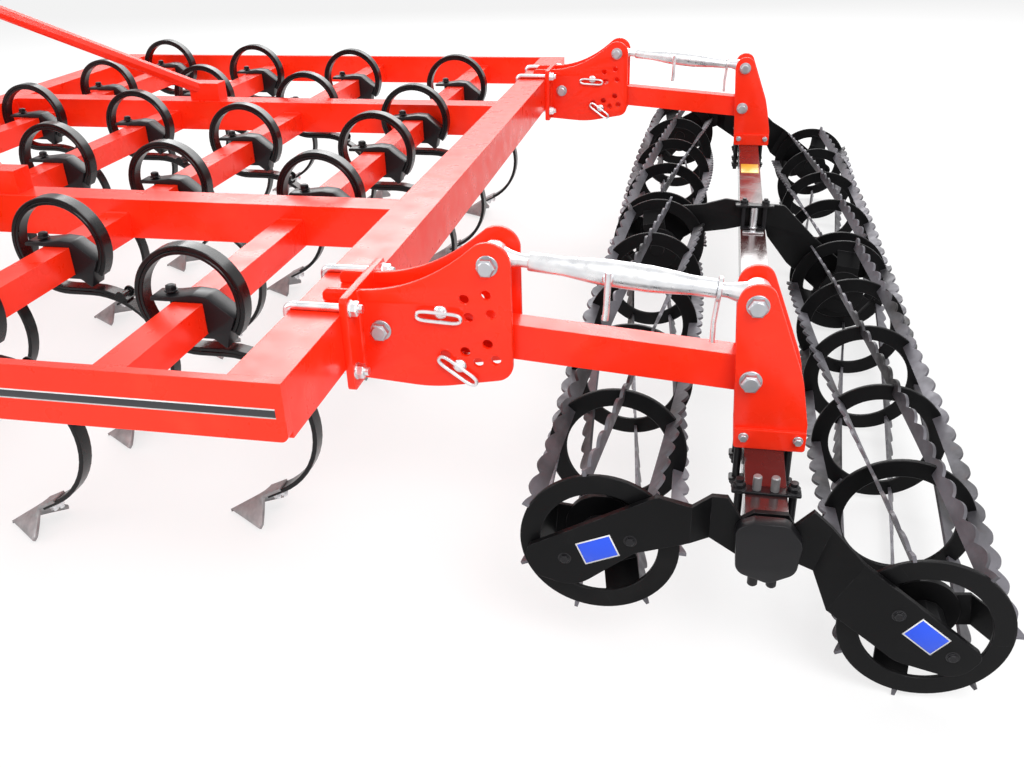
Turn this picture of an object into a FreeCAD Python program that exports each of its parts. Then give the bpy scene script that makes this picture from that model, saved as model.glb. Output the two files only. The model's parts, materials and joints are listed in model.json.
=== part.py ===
import FreeCAD, Part
import Sketcher
import math
import os

# Mounted field cultivator with spring-loop tines and a tandem cage roller.
# +X is the travel direction, +Y the left side, +Z up. The origin lies on the ground
# under the middle of the machine. Lengths are in millimetres, angles in degrees.
SIZES = {
    "frame_width": 2970.0,
    "frame_top": 550.0,
    "beam_wide": 100.0,
    "beam_tall": 110.0,
    "beam_wall": 6.0,
    "side_thick": 20.0,
    "side_tall": 108.0,
    "side_round": 14.0,
    "long_wide": 80.0,
    "long_tall": 100.0,
    "long_wall": 5.0,
    "long_offset": 565.0,
    "bar_size": 65.0,
    "bar_wall": 5.0,
    "row_first": 355.0,
    "row_step": 465.0,
    "front_gap": 155.0,
    "loop_radius": 112.0,
    "loop_rise": 31.0,
    "loop_start": 35.0,
    "leaf_wide": 35.0,
    "leaf_thick": 10.0,
    "helper_thick": 8.0,
    "run_length": 56.0,
    "arc_radius": 170.0,
    "arc_sweep": 153.0,
    "tail_length": 40.0,
    "share_reach": 136.0,
    "share_shank": 50.0,
    "share_neck_wide": 40.0,
    "share_wide": 140.0,
    "share_back": 105.0,
    "share_thick": 7.0,
    "clamp_wide": 50.0,
    "clamp_front": 50.0,
    "clamp_tongue": 80.0,
    "clamp_top": 20.0,
    "clamp_rear": 72.0,
    "strap_thick": 10.0,
    "clamp_point": 66.0,
    "bracket_inset": 379.0,
    "base_wide": 230.0,
    "base_thick": 15.0,
    "base_over": 31.0,
    "base_under": 154.0,
    "bracket_gap": 82.0,
    "bracket_plate": 10.0,
    "tab_reach": 55.0,
    "tab_tall": 25.0,
    "pivot_back": 54.0,
    "pivot_drop": 52.0,
    "top_back": 262.0,
    "top_rise": 85.0,
    "link_bolt": 24.0,
    "bolt_play": 0.3,
    "head_tall": 14.0,
    "bracket_round": 44.0,
    "bracket_crown": 37.0,
    "pin_dia": 18.0,
    "arm_tall": 70.0,
    "arm_wide": 50.0,
    "arm_wall": 6.0,
    "arm_reach": 679.0,
    "arm_fall": 56.0,
    "bush_dia": 44.0,
    "side_play": 0.3,
    "cheek_rise": 144.0,
    "cheek_drop": 123.0,
    "cheek_round": 38.0,
    "cheek_wide": 127.0,
    "saddle_thick": 12.0,
    "strap_tall": 40.0,
    "strap_plate": 6.0,
    "link_thin": 34.0,
    "link_fat": 50.0,
    "link_eye": 50.0,
    "link_eye_wide": 40.0,
    "link_slack": 0.95,
    "tube_size": 70.0,
    "tube_wall": 6.0,
    "front_ring_outer": 133.0,
    "front_slat_outer": 145.0,
    "rear_ring_outer": 137.0,
    "rear_slat_outer": 150.0,
    "ring_wide": 35.0,
    "ring_thick": 8.0,
    "slat_tall": 30.0,
    "slat_thick": 6.0,
    "front_roller_back": 498.0,
    "rear_roller_back": 1028.0,
    "front_roller_drop": 292.0,
    "roller_inset": 63.0,
    "roller_play": 6.0,
    "plate_step": 36.0,
    "middle_support": -100.0,
    "middle_gap": 38.0,
    "disc_inset": 50.0,
    "disc_thick": 8.0,
    "stub_dia": 40.0,
    "stub_past": 8.0,
    "housing_dia": 70.0,
    "housing_length": 40.0,
    "carrier_plate": 10.0,
    "ubolt_rod": 16.0,
    "ubolt_half": 95.0,
    "lower_hitch_half": 412.0,
    "lower_hole_dia": 28.5,
    "lower_pin_gap": 90.0,
    "hitch_plate": 15.0,
    "hitch_plate_reach": 135.0,
    "lower_pin_ahead": 95.0,
    "lower_pin_drop": 75.0,
    "mast_height": 610.0,
    "mast_leg": 60.0,
    "top_hole_dia": 25.5,
    "top_gap": 56.0,
    "top_plate": 12.0,
    "stay_dia": 42.0,
    "stay_back": 850.0,
}

# Each row of tines, counted from the rear. A tine is (bay, share): the side bays run from
# a longitudinal's outer face to the side bar, the middle bay from the centre line to a
# longitudinal's inner face, and the share says how far across its bay the tine sits.
TINE_ROWS = (
    (("left", 0.576), ("middle", 0.766), ("middle", -0.105), ("middle", -0.895), ("right", 0.508)),
    (("left", 0.716), ("left", 0.271), ("middle", 0.638), ("middle", -0.272), ("right", 0.070), ("right", 0.640)),
    (("left", 0.857), ("left", 0.141), ("middle", 0.305), ("middle", -0.592), ("right", 0.205), ("right", 0.755)),
    (("left", 0.427), ("middle", 0.914), ("middle", 0.105), ("middle", -0.754), ("right", 0.320), ("right", 0.895)),
)

# Flat stretches that stand for a spring's loop, for its lower arc, and how many of the
# lower ones the helper leaf follows.
LOOP_FLATS = 7
ARC_FLATS = 3
HELPER_FLATS = 0.5

# Holes of a roller bracket: distance behind the frame, height over its top.
DEPTH_HOLES = (
    (216.0, 18.0), (257.0, 28.0), (223.0, -17.0), (265.0, -9.0),
    (175.0, -96.0), (214.0, -87.0), (257.0, -69.0), (238.0, -108.0), (272.0, -101.0),
)
DEPTH_PINS = ((172.0, -8.0), (203.0, -115.0))

# Sides of small round holes and bolts, of bushes, and of the rollers' rings and shafts.
HOLE_SIDES = 8
BUSH_SIDES = 12
RING_SIDES = 10

# Rollers: slats on each, and the turn of a slat from the middle support to the left end.
SLATS = 7
LEFT_RINGS = 6
RIGHT_RINGS = 5
FRONT_TWIST = -75.0
REAR_TWIST = 75.0

doc = FreeCAD.newDocument("field_cultivator")
sheet = doc.addObject("Spreadsheet::Sheet", "sizes")
for line, (alias, value) in enumerate(SIZES.items(), start=1):
    sheet.set(f"A{line}", alias)
    sheet.set(f"B{line}", str(value))
    sheet.setAlias(f"B{line}", alias)
doc.recompute()

NODES = []


def size(alias):
    """A driving dimension, read from the sheet."""
    return float(sheet.get(alias))


def cell(alias):
    """The same dimension, as an expression that a feature can be bound to."""
    return f"<<sizes>>.{alias}"


def node(obj, label):
    """Keep an object as one named piece of the machine."""
    obj.Label = label
    NODES.append(obj)
    return obj


# Places on the machine, worked out from the driving dimensions.
LAST_ROW = size("row_first") + (len(TINE_ROWS) - 1) * size("row_step")
FRAME_LENGTH = LAST_ROW + size("front_gap") + size("beam_wide")
REACH_BACK = size("rear_roller_back") + size("rear_slat_outer")
REACH_FRONT = FRAME_LENGTH + size("hitch_plate_reach")
REAR_FACE = (REACH_BACK - REACH_FRONT) / 2
TOP = size("frame_top")
BEAM_FRONT = REAR_FACE + size("beam_wide")
FRAME_FRONT = REAR_FACE + FRAME_LENGTH
FRONT_BEAM_REAR = FRAME_FRONT - size("beam_wide")
BAR_Z = TOP - size("long_tall") + size("bar_size") / 2
INNER_Y = size("frame_width") / 2 - size("side_thick")
LONG_INNER = size("long_offset") - size("long_wide") / 2
LONG_OUTER = size("long_offset") + size("long_wide") / 2
BRACKET_Y = size("frame_width") / 2 - size("bracket_inset")
ROLLER_END = size("frame_width") / 2 - size("roller_inset")
END_PLATE_Y = ROLLER_END + size("ring_thick") / 2 + size("roller_play") + size("carrier_plate") / 2
INNER_PLATE_Y = END_PLATE_Y - size("plate_step")
TUBE_LENGTH = 2 * INNER_PLATE_Y - 3 * size("carrier_plate")

# Pivots of the linkage: A and B on the brackets, C and D on the cheeks.
JOINT_A = (REAR_FACE - size("pivot_back"), TOP - size("pivot_drop"))
JOINT_B = (REAR_FACE - size("top_back"), TOP + size("top_rise"))
JOINT_D = (JOINT_A[0] - size("arm_reach"), JOINT_A[1] - size("arm_fall"))
JOINT_C = (JOINT_D[0], JOINT_D[1] + size("cheek_rise"))

# The cross tube under the cheeks, flush with their front edge's line, and both axles.
TUBE_X = JOINT_D[0] + 0.5 - size("tube_size") / 2
TUBE_Z = JOINT_D[1] - size("cheek_drop") - size("saddle_thick") - size("tube_size") / 2
FRONT_AXLE = (REAR_FACE - size("front_roller_back"), TOP - size("front_roller_drop"))
REAR_AXLE = (REAR_FACE - size("rear_roller_back"), size("rear_slat_outer"))


def sketch_on(body, role, name):
    """A sketch on one of the body's own origin planes."""
    sketch = body.newObject("Sketcher::SketchObject", name)
    plane = next(item for item in body.Origin.OriginFeatures if item.Role == role)
    sketch.AttachmentSupport = (plane, [""])
    sketch.MapMode = "FlatFace"
    return sketch


def rectangle(sketch, wide, tall, centre=(0.0, 0.0), inset=""):
    """A centred rectangle whose two sizes are bound to expressions."""
    start = sketch.GeometryCount
    corners = [FreeCAD.Vector(x, y, 0) for x, y in ((-1, -1), (1, -1), (1, 1), (-1, 1))]
    corners = [corner * 10 + FreeCAD.Vector(*centre, 0) for corner in corners]
    for index in range(4):
        sketch.addGeometry(Part.LineSegment(corners[index], corners[(index + 1) % 4]), False)
    add = sketch.addConstraint
    for index in range(4):
        add(Sketcher.Constraint("Coincident", start + index, 2, start + (index + 1) % 4, 1))
    add(Sketcher.Constraint("Horizontal", start))
    add(Sketcher.Constraint("Horizontal", start + 2))
    add(Sketcher.Constraint("Vertical", start + 1))
    add(Sketcher.Constraint("Vertical", start + 3))
    for line, expression, kind in ((start, wide, "DistanceX"), (start + 1, tall, "DistanceY")):
        item = add(Sketcher.Constraint(kind, line, 1, line, 2, 20.0))
        sketch.setExpression(f"Constraints[{item}]", expression + inset)
    for kind, expression in (("DistanceX", wide), ("DistanceY", tall)):
        item = add(Sketcher.Constraint(kind, start, 1, -1, 1, 10.0))
        sketch.setExpression(f"Constraints[{item}]", f"({expression}{inset}) / 2")


def tube(name, role, wide, tall, wall, length):
    """A straight rectangular tube, centred on its body's origin."""
    body = doc.addObject("PartDesign::Body", name)
    section = sketch_on(body, role, name + "_section")
    rectangle(section, wide, tall)
    if wall:
        rectangle(section, wide, tall, inset=f" - 2 * {wall}")
    pad = body.newObject("PartDesign::Pad", name + "_pad")
    pad.Profile = section
    pad.Midplane = True
    pad.setExpression("Length", length)
    return body


def place(obj, x="0", y="0", z="0"):
    """Bind an object's place to expressions, or set it from numbers."""
    for axis, value in zip("xyz", (x, y, z)):
        if isinstance(value, str):
            obj.setExpression(f"Placement.Base.{axis}", value)
        else:
            setattr(obj.Placement.Base, axis, value)
    return obj


def outline(corners):
    """A closed wire in the X-Z plane. Each corner is (x, z) or (x, z, radius)."""
    edges = []
    starts = []
    count = len(corners)
    for index in range(count):
        here = FreeCAD.Vector(corners[index][0], 0, corners[index][1])
        radius = corners[index][2] if len(corners[index]) > 2 else 0.0
        before = corners[index - 1]
        after = corners[(index + 1) % count]
        to_before = (FreeCAD.Vector(before[0], 0, before[1]) - here).normalize()
        to_after = (FreeCAD.Vector(after[0], 0, after[1]) - here).normalize()
        if not radius:
            starts.append((here, here, None))
            continue
        half = to_before.getAngle(to_after) / 2
        along = radius / math.tan(half)
        bisector = (to_before + to_after).normalize()
        middle = here + bisector * (radius / math.sin(half) - radius)
        starts.append((here + to_before * along, here + to_after * along, middle))
    for index in range(count):
        first, last, middle = starts[index]
        if middle is not None:
            edges.append(Part.Arc(first, middle, last).toShape())
        following = starts[(index + 1) % count][0]
        if (following - last).Length > 1e-6:
            edges.append(Part.LineSegment(last, following).toShape())
    return Part.Wire(edges)


def prism_y(x, z, radius, y_from, y_to, sides, phase=0.0):
    """A many-sided bar along Y; the radius is measured to its corners."""
    points = []
    for side in range(sides):
        turn = math.radians(phase + 360.0 * side / sides)
        points.append(FreeCAD.Vector(x + radius * math.cos(turn), y_from, z + radius * math.sin(turn)))
    return polygon(points).extrude(FreeCAD.Vector(0, y_to - y_from, 0))


def across_flats(radius, sides):
    """The corner radius of a many-sided hole that a round bar of this radius just fits."""
    return radius / math.cos(math.pi / sides)


def plate(corners, y, thick, holes=(), bores=()):
    """A flat plate in an X-Z plane, centred on y. Holes and round bores are (x, z, radius)."""
    solid = Part.Face(outline(corners)).extrude(FreeCAD.Vector(0, thick, 0))
    for x, z, radius in holes:
        solid = solid.cut(prism_y(x, z, radius, -1, thick + 1, HOLE_SIDES))
    for x, z, radius in bores:
        solid = solid.cut(Part.makeCylinder(radius, thick + 2, FreeCAD.Vector(x, -1, z), FreeCAD.Vector(0, 1, 0)))
    solid.translate(FreeCAD.Vector(0, y - thick / 2, 0))
    return solid


def behind(points):
    """Turn (distance behind the frame, height over its top) into machine places."""
    return [(REAR_FACE - point[0], TOP + point[1], *point[2:]) for point in points]


def around(centre, points):
    """Turn (distance behind, height over) an axle or tube centre into machine places."""
    return [(centre[0] - point[0], centre[1] + point[1], *point[2:]) for point in points]


def skin(loops):
    """A solid through closed loops of points, one after another, with equal counts."""
    faces = [polygon(loops[0]), polygon(loops[-1])]
    count = len(loops[0])
    for first, second in zip(loops, loops[1:]):
        for corner in range(count):
            other = (corner + 1) % count
            faces.append(polygon([first[corner], first[other], second[other]]))
            faces.append(polygon([first[corner], second[other], second[corner]]))
    return closed(faces)


def feature(label, shapes):
    """One named piece made of one or more solids."""
    obj = doc.addObject("Part::Feature", label)
    solids = [solid for shape in shapes for solid in shape.Solids]
    obj.Shape = solids[0] if len(solids) == 1 else Part.makeCompound(solids)
    return node(obj, label)


def weld(shapes):
    """Join overlapping or touching solids into one, without the seams."""
    return shapes[0].fuse(shapes[1:]).removeSplitter()


def beams():
    """The rear and front cross beams between the side bars."""
    length = f"{cell('frame_width')} - 2 * {cell('side_thick')}"
    half_up = f"{cell('frame_top')} - {cell('beam_tall')} / 2"
    for label, rear in (("rear_beam", REAR_FACE), ("front_beam", FRONT_BEAM_REAR)):
        body = tube(label, "XZ_Plane", cell("beam_wide"), cell("beam_tall"), cell("beam_wall"), length)
        place(body, x=f"{rear} + {cell('beam_wide')} / 2", z=half_up)
        node(body, label)


def longitudinals():
    """Two square-set tubes that join the beams and carry the tine bars."""
    length = f"{FRONT_BEAM_REAR - BEAM_FRONT}"
    middle = (FRONT_BEAM_REAR + BEAM_FRONT) / 2
    for side, sign in (("left", 1), ("right", -1)):
        label = f"longitudinal_{side}"
        body = tube(label, "YZ_Plane", cell("long_wide"), cell("long_tall"), cell("long_wall"), length)
        place(body, x=f"{middle}", y=f"{sign} * {cell('long_offset')}",
              z=f"{cell('frame_top')} - {cell('long_tall')} / 2")
        node(body, label)


def side_bars():
    """Flat bars that close the frame at its sides, with rounded lower corners."""
    low = TOP - size("side_tall")
    rounding = size("side_round")
    corners = ((REAR_FACE, low, rounding), (FRAME_FRONT, low, rounding),
               (FRAME_FRONT, TOP), (REAR_FACE, TOP))
    for side, sign in (("left", 1), ("right", -1)):
        y = sign * (size("frame_width") - size("side_thick")) / 2
        feature(f"side_bar_{side}", [plate(corners, y, size("side_thick"))])


def tine_bars():
    """Four rows of square tube, each in three stretches between the longitudinals."""
    stretches = ((-INNER_Y, -LONG_OUTER), (-LONG_INNER, LONG_INNER), (LONG_OUTER, INNER_Y))
    for row in range(len(TINE_ROWS)):
        x = REAR_FACE + size("row_first") + row * size("row_step")
        pieces = []
        for number, (low, high) in enumerate(stretches, start=1):
            name = f"bar_{row + 1}_{number}"
            body = tube(name, "XZ_Plane", cell("bar_size"), cell("bar_size"), cell("bar_wall"), f"{high - low}")
            place(body, x=f"{x}", y=f"{(low + high) / 2}", z=f"{BAR_Z}")
            pieces.append(body)
        group = doc.addObject("Part::Compound", f"tine_bar_row_{row + 1}")
        group.Links = pieces
        node(group, f"tine_bar_row_{row + 1}")


def leaf_side(offset, flats, tail=0.0):
    """One side of a spring leaf, from the clamp round the loop and down to the share.

    Places are (behind, above) the middle of the tine bar. The offset is measured
    to the inside of the loop, and flats counts the stretches of the lower arc.
    """
    radius = size("loop_radius") - offset
    rise = size("loop_rise")
    sweep = 270.0 + size("loop_start")
    points = []
    for index in range(LOOP_FLATS + 1):
        turn = math.radians(sweep * index / LOOP_FLATS - size("loop_start"))
        points.append((radius * math.cos(turn), rise + radius * math.sin(turn)))
    points.append((size("run_length"), rise - radius))
    low = size("arc_radius") + offset
    centre = rise - size("loop_radius") - size("arc_radius")
    for index in range(ARC_FLATS):
        part = min(1.0, flats - index)
        if part > 0.0:
            turn = math.radians(90.0 - size("arc_sweep") * (index + 1) / ARC_FLATS)
            back, up = points[-1]
            aim = (size("run_length") + low * math.cos(turn), centre + low * math.sin(turn))
            points.append((back + part * (aim[0] - back), up + part * (aim[1] - up)))
    if tail:
        heading = math.radians(-size("arc_sweep"))
        points.append((points[-1][0] + tail * math.cos(heading), points[-1][1] + tail * math.sin(heading)))
    return points


def leaf(outside, inside, flats, tail=0.0):
    """A spring leaf between two offsets of the loop."""
    points = leaf_side(outside, flats, tail) + leaf_side(inside, flats, tail)[::-1]
    return plate([(-back, up) for back, up in points], 0.0, size("leaf_wide"))


def neck():
    """Where the share's shank starts on the leaf: place and heading, behind and above."""
    heading = math.radians(-size("arc_sweep"))
    turn = math.radians(90.0 - size("arc_sweep"))
    radius = size("arc_radius") - size("leaf_thick") / 2
    centre = size("loop_rise") - size("loop_radius") - size("arc_radius")
    start = (size("run_length") + radius * math.cos(turn), centre + radius * math.sin(turn))
    return start, (math.cos(heading), math.sin(heading))


def share():
    """A duckfoot share: a shank on the leaf's end that folds into two swept wings."""
    start, heading = neck()
    half = size("share_neck_wide") / 2
    thick = size("share_thick")
    floor = -BAR_Z
    knee = (start[0] + heading[0] * size("share_shank"), start[1] + heading[1] * size("share_shank"))
    tip = (start[0] - size("share_reach"), floor)
    wing = (tip[0] + size("share_back"), floor + 4.0)
    lift = (-heading[1] * -1.0 * thick, -heading[0] * thick)
    low = {
        "tip": (tip[0], 0.0, tip[1]),
        "wing_left": (wing[0], size("share_wide") / 2, wing[1]),
        "wing_right": (wing[0], -size("share_wide") / 2, wing[1]),
        "knee_left": (knee[0], half, knee[1]),
        "knee_right": (knee[0], -half, knee[1]),
        "neck_left": (start[0], half, start[1]),
        "neck_right": (start[0], -half, start[1]),
    }
    under = {key: FreeCAD.Vector(-back, y, up) for key, (back, y, up) in low.items()}
    over = {key: point + FreeCAD.Vector(-lift[0], 0, lift[1]) for key, point in under.items()}
    fields = (("tip", "wing_left", "knee_left"), ("tip", "knee_left", "knee_right"),
              ("tip", "knee_right", "wing_right"), ("knee_left", "neck_left", "neck_right", "knee_right"))
    rim = ("tip", "wing_left", "knee_left", "neck_left", "neck_right", "knee_right", "wing_right")
    faces = []
    for level in (under, over):
        for field in fields:
            faces.append(polygon([level[key] for key in field]))
    for index, key in enumerate(rim):
        following = rim[(index + 1) % len(rim)]
        faces.append(polygon([under[key], under[following], over[following], over[key]]))
    return closed(faces)


def polygon(points):
    """A flat face through the points."""
    return Part.Face(Part.makePolygon(points + [points[0]]))


def closed(faces):
    """A solid inside flat faces that meet edge to edge."""
    solid = Part.Solid(Part.Shell(faces))
    if solid.Volume < 0:
        solid.reverse()
    return solid


def clamp():
    """A casting that hooks over the bar and holds both leaves behind it."""
    half = size("bar_size") / 2
    rear = size("clamp_rear")
    start, end = leaf_side(size("leaf_thick") / 2 + size("helper_thick"), 0.0)[:2]
    seat = ((start[0] + end[0]) / 2, (start[1] + end[1]) / 2)
    low = half + size("strap_thick")
    hook = half + size("strap_thick") + 2.0
    corners = [(-size("clamp_tongue"), half), (-size("clamp_tongue"), half + 0.6 * size("clamp_top")),
               (hook, half + size("clamp_top")), (rear, half - 18.0), seat, start, (rear - 2.0, -size("clamp_point")),
               (hook, -low), (-size("clamp_front"), -low), (-size("clamp_front"), -half), (half, -half), (half, half)]
    return plate([(-back, up) for back, up in corners], 0.0, size("clamp_wide"))


def across(bay, part):
    """The place across the machine of a tine that sits part of the way across its bay."""
    if bay == "middle":
        return part * LONG_INNER
    place_in_bay = LONG_OUTER + part * (INNER_Y - LONG_OUTER)
    return place_in_bay if bay == "left" else -place_in_bay


def tines():
    """Springs, helper leaves, clamps and shares, one group of each per row."""
    half = size("leaf_thick") / 2
    main = leaf(-half, half, ARC_FLATS, size("tail_length"))
    helper = leaf(half, half + size("helper_thick"), HELPER_FLATS)
    masters = (("tine_springs", main), ("tine_helpers", helper), ("tine_clamps", clamp()), ("shares", share()))
    for name, master in masters:
        for row, places in enumerate(TINE_ROWS, start=1):
            x = REAR_FACE + size("row_first") + (row - 1) * size("row_step")
            copies = [master.translated(FreeCAD.Vector(x, across(*tine), BAR_Z)) for tine in places]
            feature(f"{name}_row_{row}", copies)


def brackets():
    """Welded roller brackets on the rear beam: a base plate and two side plates."""
    gap = size("bracket_gap")
    thick = size("bracket_plate")
    back = size("base_thick")
    rear = size("top_back") + size("bracket_round")
    crown = size("top_rise") + size("bracket_crown")
    corners = [(-size("tab_reach"), 0.0), (-size("tab_reach"), size("tab_tall"), 8.0),
               (60.0, size("tab_tall") + 1.0, 120.0), (200.0, size("top_rise") - 3.0, 30.0),
               (size("top_back") - 30.0, crown, 30.0), (rear, crown, size("bracket_round") - 3.0),
               (rear, -138.0, 34.0), (150.0, -166.0, 300.0), (0.0, -size("base_under")), (0.0, 0.0)]
    bolt = size("link_bolt") / 2
    pin = size("pin_dia") / 2
    holes = [(REAR_FACE - r, TOP + h, pin + 0.5) for r, h in DEPTH_HOLES]
    holes += [(REAR_FACE - r, TOP + h, pin) for r, h in DEPTH_PINS]
    holes += [(*JOINT_A, bolt), (*JOINT_B, bolt)]
    tall = size("base_over") + size("base_under")
    pieces = []
    for y in (BRACKET_Y, -BRACKET_Y):
        base = Part.makeBox(back, size("base_wide"), tall,
                            FreeCAD.Vector(REAR_FACE - back, y - size("base_wide") / 2, TOP - size("base_under")))
        sides = [plate(behind(corners), y + hand * (gap + thick) / 2, thick, holes) for hand in (-1, 1)]
        pieces.append(weld([base] + sides))
    feature("roller_brackets", pieces)


def rod(points, y, radius):
    """A six-sided bar bent in an X-Z plane, mitred at its corners."""
    loops = []
    for index, (x, z) in enumerate(points):
        before = points[max(index - 1, 0)]
        after = points[min(index + 1, len(points) - 1)]
        into = FreeCAD.Vector(x - before[0], 0, z - before[1])
        out = FreeCAD.Vector(after[0] - x, 0, after[1] - z)
        into = into.normalize() if into.Length else FreeCAD.Vector(out).normalize()
        out = out.normalize() if out.Length else into
        along = (into + out).normalize()
        side = FreeCAD.Vector(along.z, 0, -along.x) * (radius / math.cos(into.getAngle(out) / 2))
        centre = FreeCAD.Vector(x, y, z)
        up = FreeCAD.Vector(0, radius, 0)
        loops.append([centre + side * math.cos(math.radians(60 * turn)) + up * math.sin(math.radians(60 * turn))
                      for turn in range(6)])
    return skin(loops)


def ubolts():
    """Two U-bolts per bracket, round the rear beam and up to the base plate."""
    radius = size("ubolt_rod") / 2
    ahead = BEAM_FRONT + radius
    high = TOP + radius
    low = TOP - size("beam_tall") - radius
    path = ((REAR_FACE, high), (ahead, high), (ahead, low), (REAR_FACE, low))
    bars = []
    for bracket in (BRACKET_Y, -BRACKET_Y):
        for hand in (-1, 1):
            bars.append(rod(path, bracket + hand * size("ubolt_half"), radius))
    feature("bracket_ubolts", bars)


def headed_bolt(x, z, y, radius, reach):
    """A cross bolt through a pair of plates, with a six-sided head and nut outside."""
    head = size("head_tall")
    shank = prism_y(x, z, radius, y - reach, y + reach, HOLE_SIDES)
    heads = [prism_y(x, z, radius * 1.6, y + reach, y + reach + head, 6),
             prism_y(x, z, radius * 1.6, y - reach - head, y - reach, 6)]
    return weld([shank] + heads)


def bolts():
    """Pivot bolts of both brackets and cheeks, and the depth pins of the brackets."""
    reach = size("bracket_gap") / 2 + size("bracket_plate")
    radius = size("link_bolt") / 2
    frame_bolts = []
    carrier_bolts = []
    pins = []
    for y in (BRACKET_Y, -BRACKET_Y):
        frame_bolts += [headed_bolt(x, z, y, radius, reach) for x, z in (JOINT_A, JOINT_B)]
        carrier_bolts += [headed_bolt(x, z, y, radius, reach) for x, z in (JOINT_C, JOINT_D)]
        for x, z in behind(DEPTH_PINS):
            past = reach + size("head_tall")
            pins.append(prism_y(x, z, size("pin_dia") / 2, y - past, y + past, HOLE_SIDES))
    feature("bracket_bolts", frame_bolts)
    feature("depth_pins", pins)
    feature("cheek_bolts", carrier_bolts)


def bush(x, radius, hole, half):
    """A bush across a link's end, and the hole that its bolt runs in."""
    half_step = 180.0 / HOLE_SIDES
    body = prism_y(x, 0.0, radius, -half, half, BUSH_SIDES)
    return body, prism_y(x, 0.0, across_flats(hole, HOLE_SIDES), -half - 1, half + 1, HOLE_SIDES, half_step)


def arms():
    """Rectangular tube arms with a bush across each end."""
    half = size("arm_tall") / 2
    length = math.hypot(size("arm_reach"), size("arm_fall"))
    slope = math.degrees(math.atan2(size("arm_fall"), size("arm_reach")))
    hole = size("link_bolt") / 2 + size("bolt_play")
    wide = size("arm_wide")
    wall = size("arm_wall")
    radius = size("bush_dia") / 2
    nose = half - 1.0
    snub = nose / 3
    inner = half - wall
    hollow = (-radius - 12.0, radius + 12.0 - length)
    outer = plate([(nose, -snub), (nose, snub), (snub, half), (-length - snub, half), (-length - nose, snub),
                   (-length - nose, -snub), (-length - snub, -half), (snub, -half)], 0.0, wide)
    core = plate([(hollow[0], -inner), (hollow[0], inner), (hollow[1], inner), (hollow[1], -inner)], 0.0, wide - 2 * wall)
    ends = [bush(x, radius, hole, size("bracket_gap") / 2 - size("side_play")) for x in (0.0, -length)]
    shape = outer.cut(core).fuse([body for body, drill in ends]).cut([drill for body, drill in ends]).removeSplitter()
    shape.rotate(FreeCAD.Vector(0, 0, 0), FreeCAD.Vector(0, 1, 0), -slope)
    for side, y in (("left", BRACKET_Y), ("right", -BRACKET_Y)):
        feature(f"arm_{side}", [shape.translated(FreeCAD.Vector(JOINT_A[0], y, JOINT_A[1]))])


def turnbuckles():
    """Swaged tube links with an eye at each end, between bracket and cheeks."""
    span = (JOINT_C[0] - JOINT_B[0], JOINT_C[1] - JOINT_B[1])
    length = math.hypot(*span)
    slope = math.degrees(math.atan2(-span[1], -span[0]))
    thin = size("link_thin") / 2
    fat = size("link_fat") / 2
    eye = size("link_eye") / 2
    thread = 0.8 * thin
    root = eye - 5.0
    profile = ((root, thread), (60.0, thread), (60.0, thin), (0.36 * length, fat), (0.64 * length, fat),
               (length - 70.0, thin), (length - 70.0, thread), (length - root, thread))
    loops = []
    for x, radius in profile:
        turns = [math.radians(360.0 * side / HOLE_SIDES) for side in range(HOLE_SIDES)]
        loops.append([FreeCAD.Vector(-x, radius * math.cos(turn), radius * math.sin(turn)) for turn in turns])
    half = size("link_eye_wide") / 2
    bolt = size("link_bolt") / 2
    near = bush(0.0, eye, bolt + size("bolt_play"), half)
    far = bush(-length, eye, bolt + size("link_slack"), half)
    shape = weld([skin(loops), near[0], far[0]]).cut([near[1], far[1]])
    shape.rotate(FreeCAD.Vector(0, 0, 0), FreeCAD.Vector(0, 1, 0), -slope)
    for side, y in (("left", BRACKET_Y), ("right", -BRACKET_Y)):
        feature(f"turnbuckle_{side}", [shape.translated(FreeCAD.Vector(JOINT_B[0], y, JOINT_B[1]))])


def cheeks():
    """Pairs of tall plates on a saddle over the cross tube, carried by the arms."""
    tube_top = TUBE_Z + size("tube_size") / 2
    low = tube_top + size("saddle_thick")
    round_top = size("cheek_round")
    front = JOINT_D[0] + 21.0
    back = front - size("cheek_wide")
    corners = [(front, low), (JOINT_C[0] + round_top - 3.0, JOINT_C[1], 60.0),
               (JOINT_C[0] + round_top - 12.0, JOINT_C[1] + round_top, 36.0),
               (JOINT_C[0] - 26.0, JOINT_C[1] + round_top, 30.0),
               (back + 16.0, JOINT_D[1] + 8.0, 200.0), (back, low + 40.0, 40.0), (back, low)]
    bolt = size("link_bolt") / 2
    holes = [(*JOINT_C, bolt), (*JOINT_D, bolt)]
    thick = size("bracket_plate")
    outer = size("bracket_gap") / 2 + thick
    pieces = []
    for y in (BRACKET_Y, -BRACKET_Y):
        sides = [plate(corners, y + hand * (size("bracket_gap") + thick) / 2, thick, holes) for hand in (-1, 1)]
        saddle = Part.makeBox(size("cheek_wide"), 2 * outer, size("saddle_thick"),
                              FreeCAD.Vector(back, y - outer, tube_top))
        straps = []
        for hand in (-1, 1):
            start = y + outer if hand > 0 else y - outer - size("strap_plate")
            straps.append(Part.makeBox(size("cheek_wide"), size("strap_plate"), size("strap_tall"),
                                       FreeCAD.Vector(back, start, tube_top)))
        pieces.append(weld([saddle] + sides + straps))
    feature("cheeks", pieces)


def cross_tube():
    """The square tube that joins both cheeks and carries the rollers."""
    body = tube("cross_tube", "XZ_Plane", cell("tube_size"), cell("tube_size"), cell("tube_wall"), f"{TUBE_LENGTH}")
    place(body, x=f"{TUBE_X}", z=f"{TUBE_Z}")
    node(body, "cross_tube")


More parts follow.
